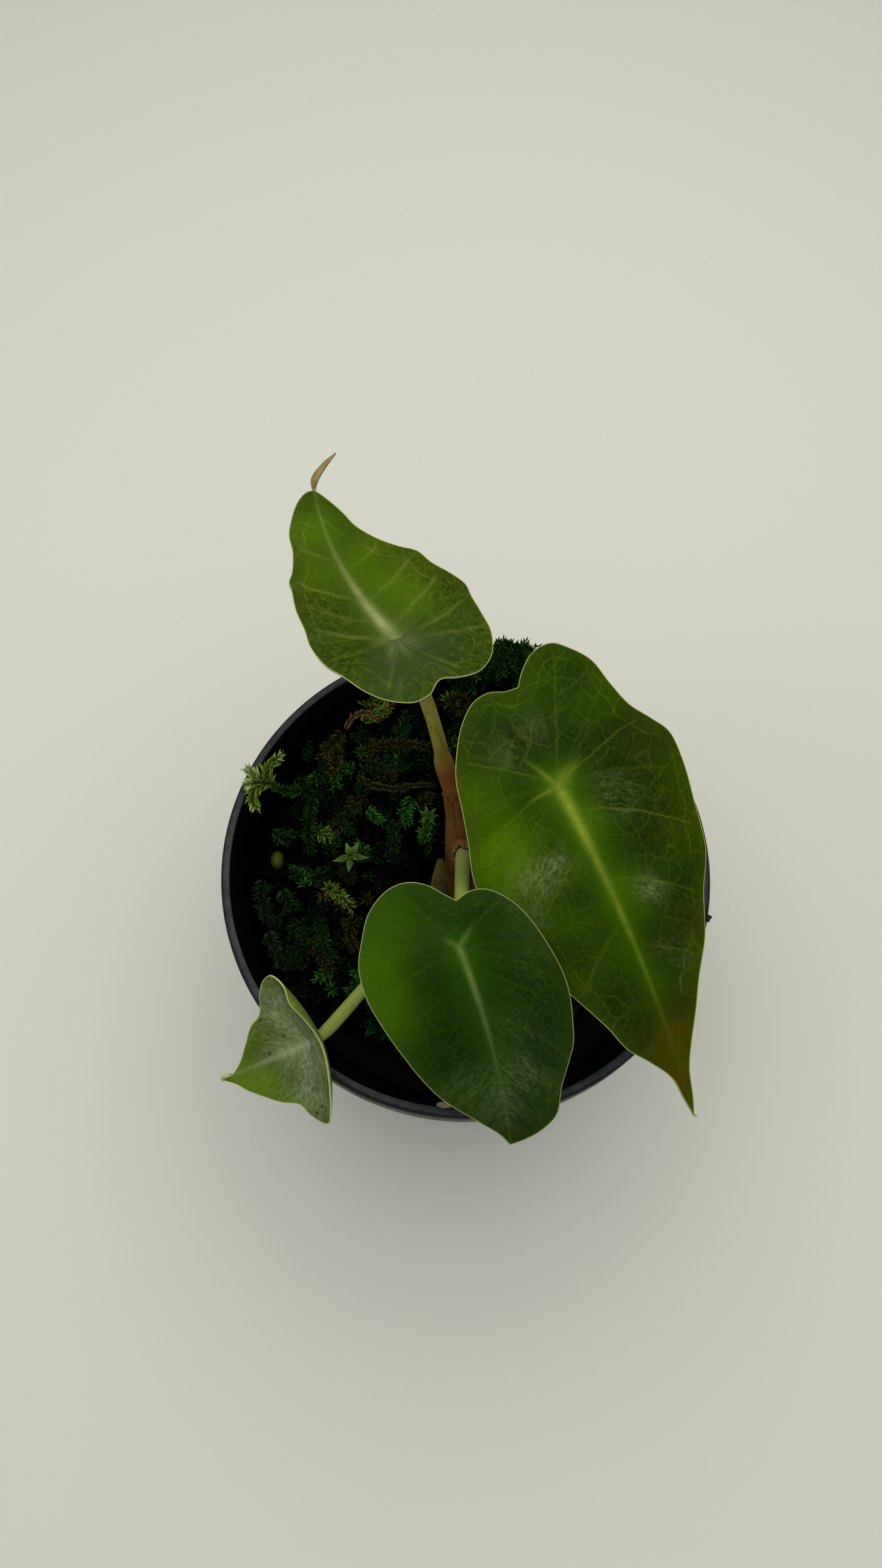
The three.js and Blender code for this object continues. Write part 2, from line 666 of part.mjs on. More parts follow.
// Places to keep clear of, so that the scattered heads stand beside everything else.
function keptClear() {
  const spots = [[CROWN.x, CROWN.y, CROWN.collar + 3]];
  for (const { head } of Object.values(SPRIGS)) {
    spots.push([head.at[0], head.at[1], head.reach + 2.6]);
  }
  for (const line of [...SHOOTS, ...Object.values(STRANDS).map((strand) => strand.line)]) {
    line.forEach(([x, y]) => spots.push([x, y, MOSS.headSpacing]));
  }
  for (const { line } of Object.values(PETIOLES)) {
    const low = curveThrough(line).getPoints(24).filter((point) => point.z < POT.height);
    low.forEach(({ x, y }) => spots.push([x, y, MOSS.headSpacing]));
  }
  return spots;
}

function scatteredHeads(draw) {
  const spots = keptClear();
  const heads = [];
  while (heads.length < MOSS.heads) {
    const angle = 2 * Math.PI * draw();
    const radius = mixed(CROWN.collar + 2, mossReach(angle) - 2, Math.sqrt(draw()));
    const [x, y] = spokePoint(angle, radius);
    if (spots.some(([a, b, away]) => Math.hypot(x - a, y - b) < away)) continue;
    spots.push([x, y, MOSS.headSpacing]);
    heads.push(leafyHead({
      at: [x, y, mossTop(x, y) + 0.5],
      core: MOSS.headRadius,
      leaves: 5,
      reach: MOSS.leafletReach,
      radius: MOSS.leafletRadius,
      rise: 1.1,
    }, draw));
  }
  return heads;
}

function mossCarpet() {
  const draw = seeded(MOSS.seed);
  const top = bedRings(CROWN.collar, mossReach, MOSS.rings, mossTop, MOSS.lean);
  const floor = (x, y) => soilHeight(x, y) + CLEARANCE + 0.25;
  const under = bedRings(CROWN.collar, mossReach, SOIL.rings, floor).reverse();
  const cushion = new THREE.SphereGeometry(1, 12, 8)
    .scale(...MOUND.cushion)
    .rotateZ(Math.atan2(-MOUND.x, MOUND.y))
    .translate(...MOUND.overRim);
  const shoots = SHOOTS.map((plan) => {
    const line = laidOn(plan, 0.5, MOSS.shootRadius);
    return leafyStem(line, leafletsOn(line), draw);
  });
  const bed = solidFrom(bedSolid([...top, ...under]));
  const whole = joined([bed, solidFrom(cushion), ...shoots, ...scatteredHeads(draw)]);
  const holes = Object.values(SPRIGS).map(({ line: [[x, y, z, radius]] }) => {
    const height = POT.height - z;
    return solidFrom(new THREE.CylinderGeometry(radius + 0.5, radius + 0.5, height, 8)
      .rotateX(Math.PI / 2)
      .translate(x, y, z + height / 2 - 1.5));
  });
  return largestPiece(whole.subtract(joined(holes)));
}

function sprig({ line, leaflets = 0, arms = [], head }, number) {
  const draw = seeded(MOSS.seed + number);
  const stalk = leafyStem(line, leaflets, draw);
  return joined([stalk, leafyHead(head, draw), ...arms.map((arm) => leafyStem(arm, 5, draw))]);
}

function strand({ line: plan }, number) {
  const line = laidOn(plan, MOSS.strandLift, 0.65);
  return leafyStem(line, leafletsOn(line), seeded(MOSS.seed + 40 + number));
}

function crumb({ at, size, turn }) {
  return new THREE.IcosahedronGeometry(0.5, 1)
    .scale(...size)
    .rotateZ(THREE.MathUtils.degToRad(turn))
    .translate(...at);
}

// The blades.

function midribX(leaf, y) {
  const share = Math.min(Math.max(y / leaf.length, 0), 1);
  return leaf.tip[0] * share + leaf.midribBend * 4 * share * (1 - share);
}

function bladeHeight(leaf, x, y) {
  const ahead = Math.max(y, 0) / leaf.length;
  const behind = Math.max(-y, 0) / leaf.backLength;
  const aside = x - midribX(leaf, y);
  const droop = aside < 0 ? leaf.leftDroop : leaf.rightDroop;
  return -leaf.tipDroop * ahead ** 2 - leaf.backDroop * behind ** 2
    - droop * (aside / leaf.halfWidth) ** 2
    + VALLEY.depth * (1 - Math.exp(-((aside / VALLEY.width) ** 2)));
}

// A point of the flat outline, bent to the blade's own form.
function bladePoint(leaf, x, y, lift) {
  if (!leaf.roll180) return new THREE.Vector3(x, y, bladeHeight(leaf, x, y) + lift);
  const { radius, start, bowLeft, bowRight } = leaf.roll180;
  const line = start + (x < 0 ? bowLeft : bowRight) * x * x;
  if (y >= line) return new THREE.Vector3(x, y, bladeHeight(leaf, x, y) + lift);
  const turn = (line - y) / radius;
  const height = bladeHeight(leaf, x, line) + lift + radius * (1 - Math.cos(turn));
  return new THREE.Vector3(x, line - radius * Math.sin(turn), height);
}

// The margin of one side, from the notch behind the petiole round to the tip.
function marginCurve(leaf, side) {
  const points = [leaf.notch, ...leaf[side], leaf.tip].map((point) => new THREE.Vector3(...point));
  return new THREE.CatmullRomCurve3(points, false, "centripetal");
}

// Where on the midrib the rib that ends at this point of the margin starts.
function ribStart(end) {
  return end.y - RIB_SLOPE * Math.abs(end.x);
}

function marginShares(leaf, curve) {
  const steps = 400;
  let first = 0;
  for (let i = 0; i < steps; i++) {
    if (ribStart(curve.getPointAt(i / steps)) < 0) first = i / steps;
  }
  const shares = Array.from({ length: leaf.backRibs }, (_, i) => (first * i) / leaf.backRibs);
  for (let j = 0; j < leaf.frontRibs; j++) {
    const wanted = (leaf.tip[1] * j) / leaf.frontRibs;
    let low = first;
    let high = 1;
    for (let k = 0; k < 24; k++) {
      const middle = (low + high) / 2;
      if (ribStart(curve.getPointAt(middle)) < wanted) low = middle;
      else high = middle;
    }
    shares.push(low);
  }
  return [...shares, 1];
}

// The upper face of one side: ribs run from the midrib to the margin, with rings of points across.
function sideGrid(leaf, side) {
  const curve = marginCurve(leaf, side);
  return marginShares(leaf, curve).map((share, rib) => {
    const end = curve.getPointAt(share);
    const station = Math.max(0, rib - leaf.backRibs) / leaf.frontRibs;
    const startY = leaf.tip[1] * station;
    const start = new THREE.Vector2(midribX(leaf, startY), startY);
    const span = Math.hypot(end.x - start.x, end.y - start.y);
    const bow = RIB_BOW * span * Math.min(1, rib / leaf.backRibs);
    const bend = new THREE.Vector2((start.x + end.x) / 2, (start.y + end.y) / 2 - bow);
    const path = new THREE.QuadraticBezierCurve(start, bend, new THREE.Vector2(end.x, end.y));
    return RING_SHARES.map((ring) => {
      const { x, y } = path.getPoint(ring);
      const quilt = rib % 2 ? QUILT * Math.sin(Math.PI * ring) : 0;
      const keel = KEEL.depth * (1 - station) * Math.exp(-(((ring * span) / KEEL.width) ** 2));
      const point = bladePoint(leaf, x, y, end.z * ring ** 3 + quilt);
      return { point, thickness: BLADE_THICKNESS + keel };
    });
  });
}

// Joins both sides into one sheet, and gives it a thickness below, with the same triangles on both
// faces. The extra depths serve to cut clearance for the petiole.
function blade(leaf, above = 0, below = 0) {
  const positions = [];
  const depths = [];
  const index = [];
  for (const side of ["left", "right"]) {
    const grid = sideGrid(leaf, side);
    const base = depths.length;
    const across = RING_SHARES.length;
    for (const { point, thickness } of grid.flat()) {
      positions.push(point.x, point.y, point.z);
      depths.push(thickness);
    }
    for (let i = 0; i + 1 < grid.length; i++) {
      for (let j = 0; j + 1 < across; j++) {
        const a = base + i * across + j;
        const corners = [a, a + 1, a + 1 + across, a, a + 1 + across, a + across];
        index.push(...(side === "right" ? corners : corners.reverse()));
      }
    }
  }
  let sheet = new THREE.BufferGeometry();
  sheet.setAttribute("position", new THREE.Float32BufferAttribute(positions, 3));
  sheet.setAttribute("depth", new THREE.Float32BufferAttribute(depths, 1));
  sheet.setIndex(index);
  sheet = mergeVertices(sheet, 1e-3);
  sheet.computeVertexNormals();
  return thickened(sheet, above, below);
}

function thickened(sheet, above, below) {
  const { position, normal, depth } = sheet.attributes;
  const positions = [];
  for (const under of [false, true]) {
    for (let i = 0; i < position.count; i++) {
      const shift = under ? -(depth.getX(i) + below) : above;
      positions.push(
        position.getX(i) + normal.getX(i) * shift,
        position.getY(i) + normal.getY(i) * shift,
        position.getZ(i) + normal.getZ(i) * shift,
      );
    }
  }
  const index = [];
  const edges = new Map();
  const corners = sheet.index.array;
  for (let i = 0; i < corners.length; i += 3) {
    const [a, b, c] = corners.slice(i, i + 3);
    if (a === b || b === c || c === a) continue;
    index.push(a, b, c, a + position.count, c + position.count, b + position.count);
    for (const [from, to] of [[a, b], [b, c], [c, a]]) edges.set(`${from} ${to}`, [from, to]);
  }
  for (const [from, to] of edges.values()) {
    if (edges.has(`${to} ${from}`)) continue;
    const [low, next] = [from + position.count, to + position.count];
    index.push(from, low, next, from, next, to);
  }
  const geometry = new THREE.BufferGeometry();
  geometry.setAttribute("position", new THREE.Float32BufferAttribute(positions, 3));
  geometry.setIndex(index);
  return geometry;
}

function bladeMatrix({ hub, heading, pitch, roll }) {
  const [turn, slope, bank] = [heading, pitch, roll].map(THREE.MathUtils.degToRad);
  const along = new THREE.Vector3(
    Math.cos(turn) * Math.cos(slope),
    Math.sin(turn) * Math.cos(slope),
    -Math.sin(slope),
  );
  const level = new THREE.Vector3(Math.sin(turn), -Math.cos(turn), 0);
  const upright = new THREE.Vector3().crossVectors(level, along);
  const across = level.clone().multiplyScalar(Math.cos(bank)).addScaledVector(upright, -Math.sin(bank));
  const normal = new THREE.Vector3().crossVectors(across, along);
  return new THREE.Matrix4().makeBasis(across, along, normal).setPosition(...hub);
}

function leafGeometry(leaf) {
  if (!leaf.tail) return blade(leaf);
  const tail = stem(leaf.tail.points.map(([x, y, z, share]) => [x, y, z, leaf.tail.radius * share]), 8, 6);
  return geometryFrom(joined([solidFrom(blade(leaf)), solidFrom(tail)]));
}

// A petiole, cut to stop short of the underside of its blade.
function petiole({ line, leaf }) {
  const stalk = solidFrom(stem(line, 14, 8));
  const room = blade(LEAVES[leaf], 3, CLEARANCE + 0.1).applyMatrix4(bladeMatrix(LEAVES[leaf]));
  return largestPiece(stalk.subtract(solidFrom(room)).subtract(rootstock(CLEARANCE)));
}

function sheathPiece() {
  const { stations, wall, arcSteps } = SHEATH;
  const rings = stations.map(({ at, half, gapAt, gap }) => {
    const arc = (shrink) => Array.from({ length: arcSteps + 1 }, (_, i) => {
      const degrees = gapAt + gap + ((360 - 2 * gap) * i) / arcSteps;
      const angle = THREE.MathUtils.degToRad(degrees);
      return new THREE.Vector3(
        at[0] + (half[0] - shrink) * Math.cos(angle),
        at[1] + (half[1] - shrink) * Math.sin(angle),
        at[2],
      );
    });
    return [...arc(0), ...arc(wall).reverse()];
  });
  return ringSolid(rings);
}

// The object.

const plant = new THREE.Group();
plant.name = "potted_scorpio_alocasia";

function add(name, geometry, colour, roughness) {
  const material = new THREE.MeshStandardMaterial({ color: colour, roughness, metalness: 0 });
  const mesh = new THREE.Mesh(geometry, material);
  mesh.name = name;
  plant.add(mesh);
  return mesh;
}

add("pot", pot(), 0x1c1e20, 0.45);
add("potting_mix", geometryFrom(pottingMix().subtract(rootstock(CLEARANCE, 3))), 0x17130f, 0.95);
add("rootstock", geometryFrom(rootstock()), 0x8a6a45, 0.8);
add("moss_carpet", geometryFrom(mossCarpet()), 0x24401a, 0.9);
Object.entries(SPRIGS).forEach(([name, form], i) => {
  add(name, geometryFrom(sprig(form, i)), form.colour, 0.85);
});
Object.entries(STRANDS).forEach(([name, form], i) => {
  add(name, geometryFrom(strand(form, i)), form.colour, 0.9);
});
for (const [name, form] of Object.entries(PETIOLES)) {
  add(name, geometryFrom(petiole(form)), form.colour, 0.5);
}
for (const [name, form] of Object.entries(CRUMBS)) {
  add(name, crumb(form), form.colour, 0.9);
}
add("sheath_back", sheathPiece(), 0x9c5a22, 0.7);
add("cataphyll_left", stem(CATAPHYLL.line, 6, 8, CATAPHYLL.flatten), 0x5f4a20, 0.8);
for (const [name, leaf] of Object.entries(LEAVES)) {
  add(name, leafGeometry(leaf), leaf.colour, 0.4).applyMatrix4(bladeMatrix(leaf));
}

export default plant;
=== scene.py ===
# %% [markdown]
# A young alocasia in its nursery pot. Four arrow-shaped blades stand on thin petioles that rise
# from moist potting mix under live moss. The solids of the plant are already there, at their real
# size. Each one gets a finer piece here that keeps its form, and a finish that follows the real
# surface. All sizes are in millimetres, because that is how a small plant is measured, and are
# turned to Blender's metres when a piece is made.

import math

import bpy
import numpy as np
from mathutils import Matrix, Vector


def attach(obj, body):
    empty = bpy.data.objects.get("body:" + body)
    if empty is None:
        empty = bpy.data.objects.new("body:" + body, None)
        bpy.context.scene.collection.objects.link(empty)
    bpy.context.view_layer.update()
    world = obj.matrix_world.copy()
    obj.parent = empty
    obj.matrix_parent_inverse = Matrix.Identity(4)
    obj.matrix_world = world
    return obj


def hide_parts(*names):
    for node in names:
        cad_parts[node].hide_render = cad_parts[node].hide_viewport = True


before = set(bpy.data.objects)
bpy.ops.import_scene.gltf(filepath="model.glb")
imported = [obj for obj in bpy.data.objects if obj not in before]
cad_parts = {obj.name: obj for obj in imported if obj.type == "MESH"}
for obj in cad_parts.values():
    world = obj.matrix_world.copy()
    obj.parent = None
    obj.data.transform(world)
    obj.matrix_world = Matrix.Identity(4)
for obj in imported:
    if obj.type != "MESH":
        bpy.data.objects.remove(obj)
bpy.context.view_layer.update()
MM = 0.001

# %% [markdown]
# The plant is seen from above and a little in front, as someone sees it who leans over the table.
# A wide lens close to it makes the high blades look larger than the pot. The view could be set by
# eye, but a position, a line of sight and a focal length say exactly the same in three lines.

# %% Camera
CAMERA_PLACE = (-4.2, -48.7, 241.28)
CAMERA_SIGHT = (0.002, 0.3316, -0.9434)
CAMERA_UP = (-0.0007, 0.9434, 0.3316)
FOCAL_LENGTH = 27.05
SENSOR_WIDTH = 36
NEAREST_SEEN = 0.01


def add_camera():
    data = bpy.data.cameras.new("camera")
    data.lens, data.sensor_width, data.clip_start = FOCAL_LENGTH, SENSOR_WIDTH, NEAREST_SEEN
    camera = bpy.data.objects.new("camera", data)
    bpy.context.scene.collection.objects.link(camera)
    back = -Vector(CAMERA_SIGHT).normalized()
    side = Vector(CAMERA_UP).cross(back).normalized()
    turn = Matrix((side, back.cross(side), back)).transposed()
    camera.matrix_world = Matrix.Translation(Vector(CAMERA_PLACE) * MM) @ turn.to_4x4()
    bpy.context.scene.camera = camera


add_camera()
print("camera at", CAMERA_PLACE)

# %% [markdown]
# Every finish is a small network of nodes. Colours are easiest to judge as the hex values of a
# screen, but shaders reckon in linear light, so one function turns the one into the other. Another
# adds a node, sets it and wires it, and a third lays colours over each other, each where its mask
# shows it, which keeps each material as short as a recipe.

# %% Colour and node helpers
NOISE_LUMP = 0.6


def linear(code, share=1.0):
    """A screen colour such as "#6f8f3c", or a share of its light, in the values shaders use."""
    channels = [int(code[i:i + 2], 16) / 255 for i in (1, 3, 5)]
    values = [c / 12.92 if c <= 0.04045 else ((c + 0.055) / 1.055) ** 2.4 for c in channels]
    return [*(share * value for value in values), 1.0]


def set_input(tree, socket, value):
    """Gives a socket a value, a screen colour or another node's output."""
    if isinstance(value, bpy.types.NodeSocket):
        tree.links.new(value, socket)
    else:
        socket.default_value = linear(value) if isinstance(value, str) else value


def add_node(tree, kind, inputs=None, **settings):
    """Adds a shader node, sets it and fills its inputs."""
    made = tree.nodes.new("ShaderNode" + kind)
    for name, value in settings.items():
        setattr(made, name, value)
    for name, value in (inputs or {}).items():
        set_input(tree, made.inputs[name], value)
    return made


def new_material(name):
    """An empty material and its node tree, with the output already in place."""
    material = bpy.data.materials.new(name)
    material.use_nodes = True
    material.node_tree.nodes.clear()
    add_node(material.node_tree, "OutputMaterial")
    return material, material.node_tree


def finished(material, colour, rough, relief=None, **others):
    """Gives a material its surface. The others are named as the sockets of its shader are."""
    tree = material.node_tree
    inputs = {"Base Color": colour, "Roughness": rough, "Subsurface Scale": MM}
    inputs.update({name.replace("_", " "): value for name, value in others.items()})
    if relief is not None:
        inputs["Normal"] = relief
    shader = add_node(tree, "BsdfPrincipled", inputs)
    tree.links.new(shader.outputs[0], tree.nodes["Material Output"].inputs["Surface"])
    return material


def layered(tree, colour, *layers):
    """Lays colours over a first one. Each layer is the share of it that shows, and its colour."""
    for share, over in layers:
        mixer = add_node(tree, "Mix", data_type="RGBA")
        sockets = {socket.identifier: socket for socket in (*mixer.inputs, *mixer.outputs)}
        for name, value in (("Factor_Float", share), ("A_Color", colour), ("B_Color", over)):
            set_input(tree, sockets[name], value)
        colour = sockets["Result_Color"]
    return colour


def reckon(tree, operation, *values):
    """One step of arithmetic on values or on other nodes' outputs."""
    return add_node(tree, "Math", dict(enumerate(values)), operation=operation).outputs[0]


def times(tree, product, *others):
    for other in others:
        product = reckon(tree, "MULTIPLY", product, other)
    return product


def rescale(tree, value, low, high, to_low=0.0, to_high=1.0):
    """Stretches the part of a value between low and high to a new span, and cuts off the rest."""
    inputs = {"Value": value, "From Min": low, "From Max": high, "To Min": to_low, "To Max": to_high}
    return add_node(tree, "MapRange", inputs, clamp=True).outputs[0]


def attribute(tree, name, output="Fac"):
    return add_node(tree, "Attribute", attribute_name=name).outputs[output]


def object_place(tree):
    return add_node(tree, "TexCoord").outputs["Object"]


def object_height(tree):
    return add_node(tree, "SeparateXYZ", {0: object_place(tree)}).outputs[2]


def noise(tree, size, place=None, detail=3.0, roughness=0.5, stretch=(1, 1, 1)):
    """Noise whose lumps are about this many millimetres across, on a place that is in metres."""
    vector = {"Vector": place or object_place(tree), "Scale": stretch}
    inputs = {"Vector": add_node(tree, "Mapping", vector).outputs[0],
              "Scale": NOISE_LUMP / (size * MM), "Detail": detail, "Roughness": roughness}
    return add_node(tree, "TexNoise", inputs).outputs["Fac"]


def swayed(tree, place, size, push):
    """A place pushed about by noise of this size, by up to this far along each axis, in mm."""
    lumps = {"Vector": object_place(tree), "Scale": NOISE_LUMP / (size * MM), "Detail": 3.0}
    sway = add_node(tree, "TexNoise", lumps).outputs["Color"]
    pushes = {0: sway, 1: [axis * MM for axis in push]}
    moved = add_node(tree, "VectorMath", pushes, operation="MULTIPLY").outputs[0]
    return add_node(tree, "VectorMath", {0: place, 1: moved}, operation="ADD").outputs[0]


def bump(tree, height, depth, normal=None):
    """Turns a value from 0 to 1 into relief this many millimetres deep."""
    inputs = {"Height": height, "Distance": depth * MM, "Strength": 1.0}
    if normal is not None:
        inputs["Normal"] = normal
    return add_node(tree, "Bump", inputs).outputs[0]


def mottled(name, under, over, size, rough, depth=0.0, surface=None, **grain):
    """A plain material: two colours mixed by one noise, which may be its relief as well."""
    material, tree = new_material(name)
    lumps = noise(tree, size, **grain)
    relief = bump(tree, lumps, depth) if depth else None
    return finished(material, layered(tree, under, (lumps, over)), rough, relief, **(surface or {}))


print("green in linear light:", [round(value, 3) for value in linear("#6f8f3c")])

# %% [markdown]
# The shapes of a plant are sheets and tubes that bend in every direction. They could be pulled up
# face by face, but a flat grid whose points are moved along a formula gives the same sheet with
# even faces, and it keeps each point's place on the sheet for veins and colour. Every grid starts
# as a primitive, is bent, and has its doubled points merged where it closes on itself.

# %% Shape helpers
MERGE_DISTANCE = 0.002
CURVE_STEPS = 60


def pick(*pieces):
    """Selects these pieces and nothing else, and makes the first of them the active one."""
    bpy.ops.object.select_all(action="DESELECT")
    for piece in pieces:
        piece.select_set(True)
    if pieces:
        bpy.context.view_layer.objects.active = pieces[0]


def new_piece(name):
    """Names what an operator has just added."""
    piece = bpy.context.object
    piece.name = piece.data.name = name
    return piece


def read_points(piece):
    flat = np.empty(3 * len(piece.data.vertices))
    piece.data.vertices.foreach_get("co", flat)
    return flat.reshape(-1, 3)


def write_points(piece, points):
    piece.data.vertices.foreach_set("co", np.asarray(points, float).ravel())
    piece.data.update()


def write_attribute(piece, name, values):
    made = piece.data.attributes.new(name, "FLOAT", "POINT")
    made.data.foreach_set("value", np.asarray(values, float).ravel())

def bent_grid(name, points, values=None):
    """A grid primitive bent to an array of points [row, column, xyz] in mm, with named values."""
    rows, columns = points.shape[0] - 1, points.shape[1] - 1
    pick()
    bpy.ops.mesh.primitive_grid_add(x_subdivisions=columns, y_subdivisions=rows, size=2)
    piece = new_piece(name)
    flat = (read_points(piece) + 1) / 2
    column = np.rint(flat[:, 0] * columns).astype(int)
    row = np.rint(flat[:, 1] * rows).astype(int)
    write_points(piece, points[row, column] * MM)
    for key, value in (values or {}).items():
        write_attribute(piece, key, value[row, column])
    return piece


def merged(piece, turn=True):
    """Merges doubled points, drops what fell flat, and may turn all faces outwards."""
    pick(piece)
    bpy.ops.object.mode_set(mode="EDIT")
    bpy.ops.mesh.select_all(action="SELECT")
    bpy.ops.mesh.remove_doubles(threshold=MERGE_DISTANCE * MM)
    bpy.ops.mesh.dissolve_degenerate(threshold=MERGE_DISTANCE * MM * 0.1)
    bpy.ops.mesh.select_all(action="SELECT")
    if turn:
        bpy.ops.mesh.normals_make_consistent(inside=False)
    bpy.ops.object.mode_set(mode="OBJECT")
    return piece


def modified(piece, kind, **settings):
    """Adds a modifier with these settings and applies it."""
    pick(piece)
    modifier = piece.modifiers.new(kind.lower(), kind)
    for name, value in settings.items():
        setattr(modifier, name, value)
    bpy.ops.object.modifier_apply(modifier=modifier.name)
    return piece


def joined(pieces, name):
    pick(*pieces)
    bpy.ops.object.join()
    return new_piece(name)


def settle(piece, slot, *nodes, materials=(), smooth=True, angle=60):
    """Gives a piece its materials and its shading, and hides the solids that it stands in for."""
    for material in materials:
        piece.data.materials.append(material)
    pick(piece)
    if smooth:
        bpy.ops.object.shade_smooth_by_angle(angle=math.radians(angle))
    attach(piece, "root")
    if nodes:
        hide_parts(*nodes)
    print(piece.name, "triangles:", sum(len(face.vertices) - 2 for face in piece.data.polygons))


def smooth_line(points, count):
    """Evenly spaced points on the smooth curve through some points, each with any number of values."""
    p = np.array(points, float)
    p = np.vstack([2 * p[0] - p[1], p, 2 * p[-1] - p[-2]])
    gaps = np.maximum(np.linalg.norm(np.diff(p[:, :3], axis=0), axis=1) ** 0.5, 1e-4)
    s = np.linspace(0, 1, CURVE_STEPS, endpoint=False)[:, None]
    stretches = []
    for i in range(len(p) - 3):
        a, b, c, d = p[i:i + 4]
        before, here, after = gaps[i:i + 3]
        leave = here * ((b - a) / before - (c - a) / (before + here) + (c - b) / here)
        reach = here * ((c - b) / here - (d - b) / (here + after) + (d - c) / after)
        stretches.append(
            (2 * s**3 - 3 * s**2 + 1) * b + (s**3 - 2 * s**2 + s) * leave
            + (3 * s**2 - 2 * s**3) * c + (s**3 - s**2) * reach
        )
    line = np.vstack([*stretches, p[-2]])
    run = np.concatenate([[0], np.cumsum(np.linalg.norm(np.diff(line[:, :3], axis=0), axis=1))])
    at = np.linspace(0, run[-1], count)
    return np.column_stack([np.interp(at, run, line[:, k]) for k in range(line.shape[1])])


def unit(vectors):
    return vectors / np.maximum(np.linalg.norm(vectors, axis=-1, keepdims=True), 1e-9)

def cross_ways(line, first=(0.0, 1.0, 0.3)):
    """The heading of a line and two directions across it at each point, carried along untwisted."""
    heading = unit(np.gradient(line[:, :3], axis=0))
    side, sides = np.array(first, float), []
    for way in heading:
        side = side - way * (side @ way)
        side = side / np.linalg.norm(side)
        sides.append(side)
    return heading, np.array(sides), np.cross(heading, sides)


def tube_points(line, sides, swell=None, flatten=1.0, first=(0.0, 1.0, 0.3)):
    """Rings round a line of points that each carry a radius, closed at both ends."""
    _, across, upward = cross_ways(line, first)
    angle = np.linspace(0, 2 * np.pi, sides + 1)
    ring = across[:, None] * np.cos(angle)[:, None]
    ring = ring + flatten * upward[:, None] * np.sin(angle)[:, None]
    radius = line[:, 3:4] * (1 if swell is None else swell(line, angle))
    start, end = (np.repeat(line[None, k, None, :3], sides + 1, axis=1) for k in (0, -1))
    return np.concatenate([start, line[:, None, :3] + ring * radius[..., None], end])


print("curves have", CURVE_STEPS, "steps between two points")

# %% [markdown]
# The light in a plant photograph like this comes from a wide bright ceiling: it is soft, a little
# stronger from behind the plant, and leaves hardly any shadow. A large area lamp overhead gives the
# broad sheen on the blades, a second one far to the side and a pale sky fill the shade, and a plain
# floor in a warm light grey carries it all.

# %% Floor and light
FLOOR_SIZE = 3.0
FLOOR_COLOURS = ("#dfe0d6", "#e3e4db")
SKY = dict(colour="#f2f4f5", strength=0.51)
LAMPS = {
    "ceiling_lamp": dict(place=(0.01, 0.09, 0.4), size=0.46, power=0.88, colour="#fffaf0"),
    "side_lamp": dict(place=(-0.75, -0.2, 0.75), size=0.5, power=0.6, colour="#f4f8ff"),
}
VIEW = dict(view_transform="Standard", exposure=0.1, gamma=0.84)


def add_floor():
    pick()
    bpy.ops.mesh.primitive_plane_add(size=FLOOR_SIZE, location=(0, 0, 0))
    floor = new_piece("floor")
    floor.data.materials.append(mottled("painted_tabletop", *FLOOR_COLOURS, 220, 0.8, detail=1))


def add_lights():
    world = bpy.context.scene.world or bpy.data.worlds.new("world")
    bpy.context.scene.world = world
    world.use_nodes = True
    background = world.node_tree.nodes["Background"]
    background.inputs["Color"].default_value = linear(SKY["colour"])
    background.inputs["Strength"].default_value = SKY["strength"]
    for name, lamp in LAMPS.items():
        data = bpy.data.lights.new(name, "AREA")
        data.shape = "DISK"
        data.size = lamp["size"]
        data.energy = lamp["power"]
        data.color = linear(lamp["colour"])[:3]
        light = bpy.data.objects.new(name, data)
        bpy.context.scene.collection.objects.link(light)
        light.location = lamp["place"]
        light.rotation_euler = (-Vector(lamp["place"])).to_track_quat("-Z", "Y").to_euler()


add_floor()
add_lights()
for name, value in VIEW.items():
    setattr(bpy.context.scene.view_settings, name, value)
print("lamps:", list(LAMPS))

# %% [markdown]
# The pot is a thin black nursery pot of injection-moulded polypropylene: a tapered cup with a flat
# rim ring and a wider lip below it. A lathe profile would do, but pulling a disc up ring by ring is how
# it is done by hand, and each ring's radius and height can be read off the real pot. Eight drainage
# holes are then cut through its floor.

# %% Pot
POT_RINGS = [
    (25.2, 0), (25.75, 0.22), (26, 0.8), (31, 29.2), (35.95, 57.5), (36.2, 57.8), (37.65, 57.95),
    (37.92, 58.1), (38, 58.5), (37.98, 61.5), (37.92, 64.3), (37.75, 64.75), (37.55, 64.93),
    (37.3, 65), (36.75, 65), (36.55, 64.93), (36.42, 64.7), (35.7, 58), (32.4, 38), (28.5, 18),
    (25, 2.3), (24.6, 1.5), (23.8, 1.2),
]
POT_SIDES = 160
POT_FLOOR, POT_TOP = 1.2, 65
DRAIN_HOLES = dict(count=8, radius=2.5, circle=18)


def pot_wall_inside(z):
    """The radius of the pot's inner wall at a height."""
    return np.interp(z, [POT_FLOOR, POT_TOP], [25, 36.5])


def drill_drain_holes(pot):
    drills = []
    for i in range(DRAIN_HOLES["count"]):
        angle = (i + 0.5) * 2 * math.pi / DRAIN_HOLES["count"]
        middle = Vector((math.cos(angle), math.sin(angle), 0)) * DRAIN_HOLES["circle"] * MM
        pick()
        bpy.ops.mesh.primitive_cylinder_add(
            vertices=32, radius=DRAIN_HOLES["radius"] * MM, depth=8 * MM, location=middle)
        drills.append(bpy.context.object)
    drill = joined(drills, "drill")
    modified(pot, "BOOLEAN", operation="DIFFERENCE", solver="EXACT", object=drill)
    bpy.data.objects.remove(drill)


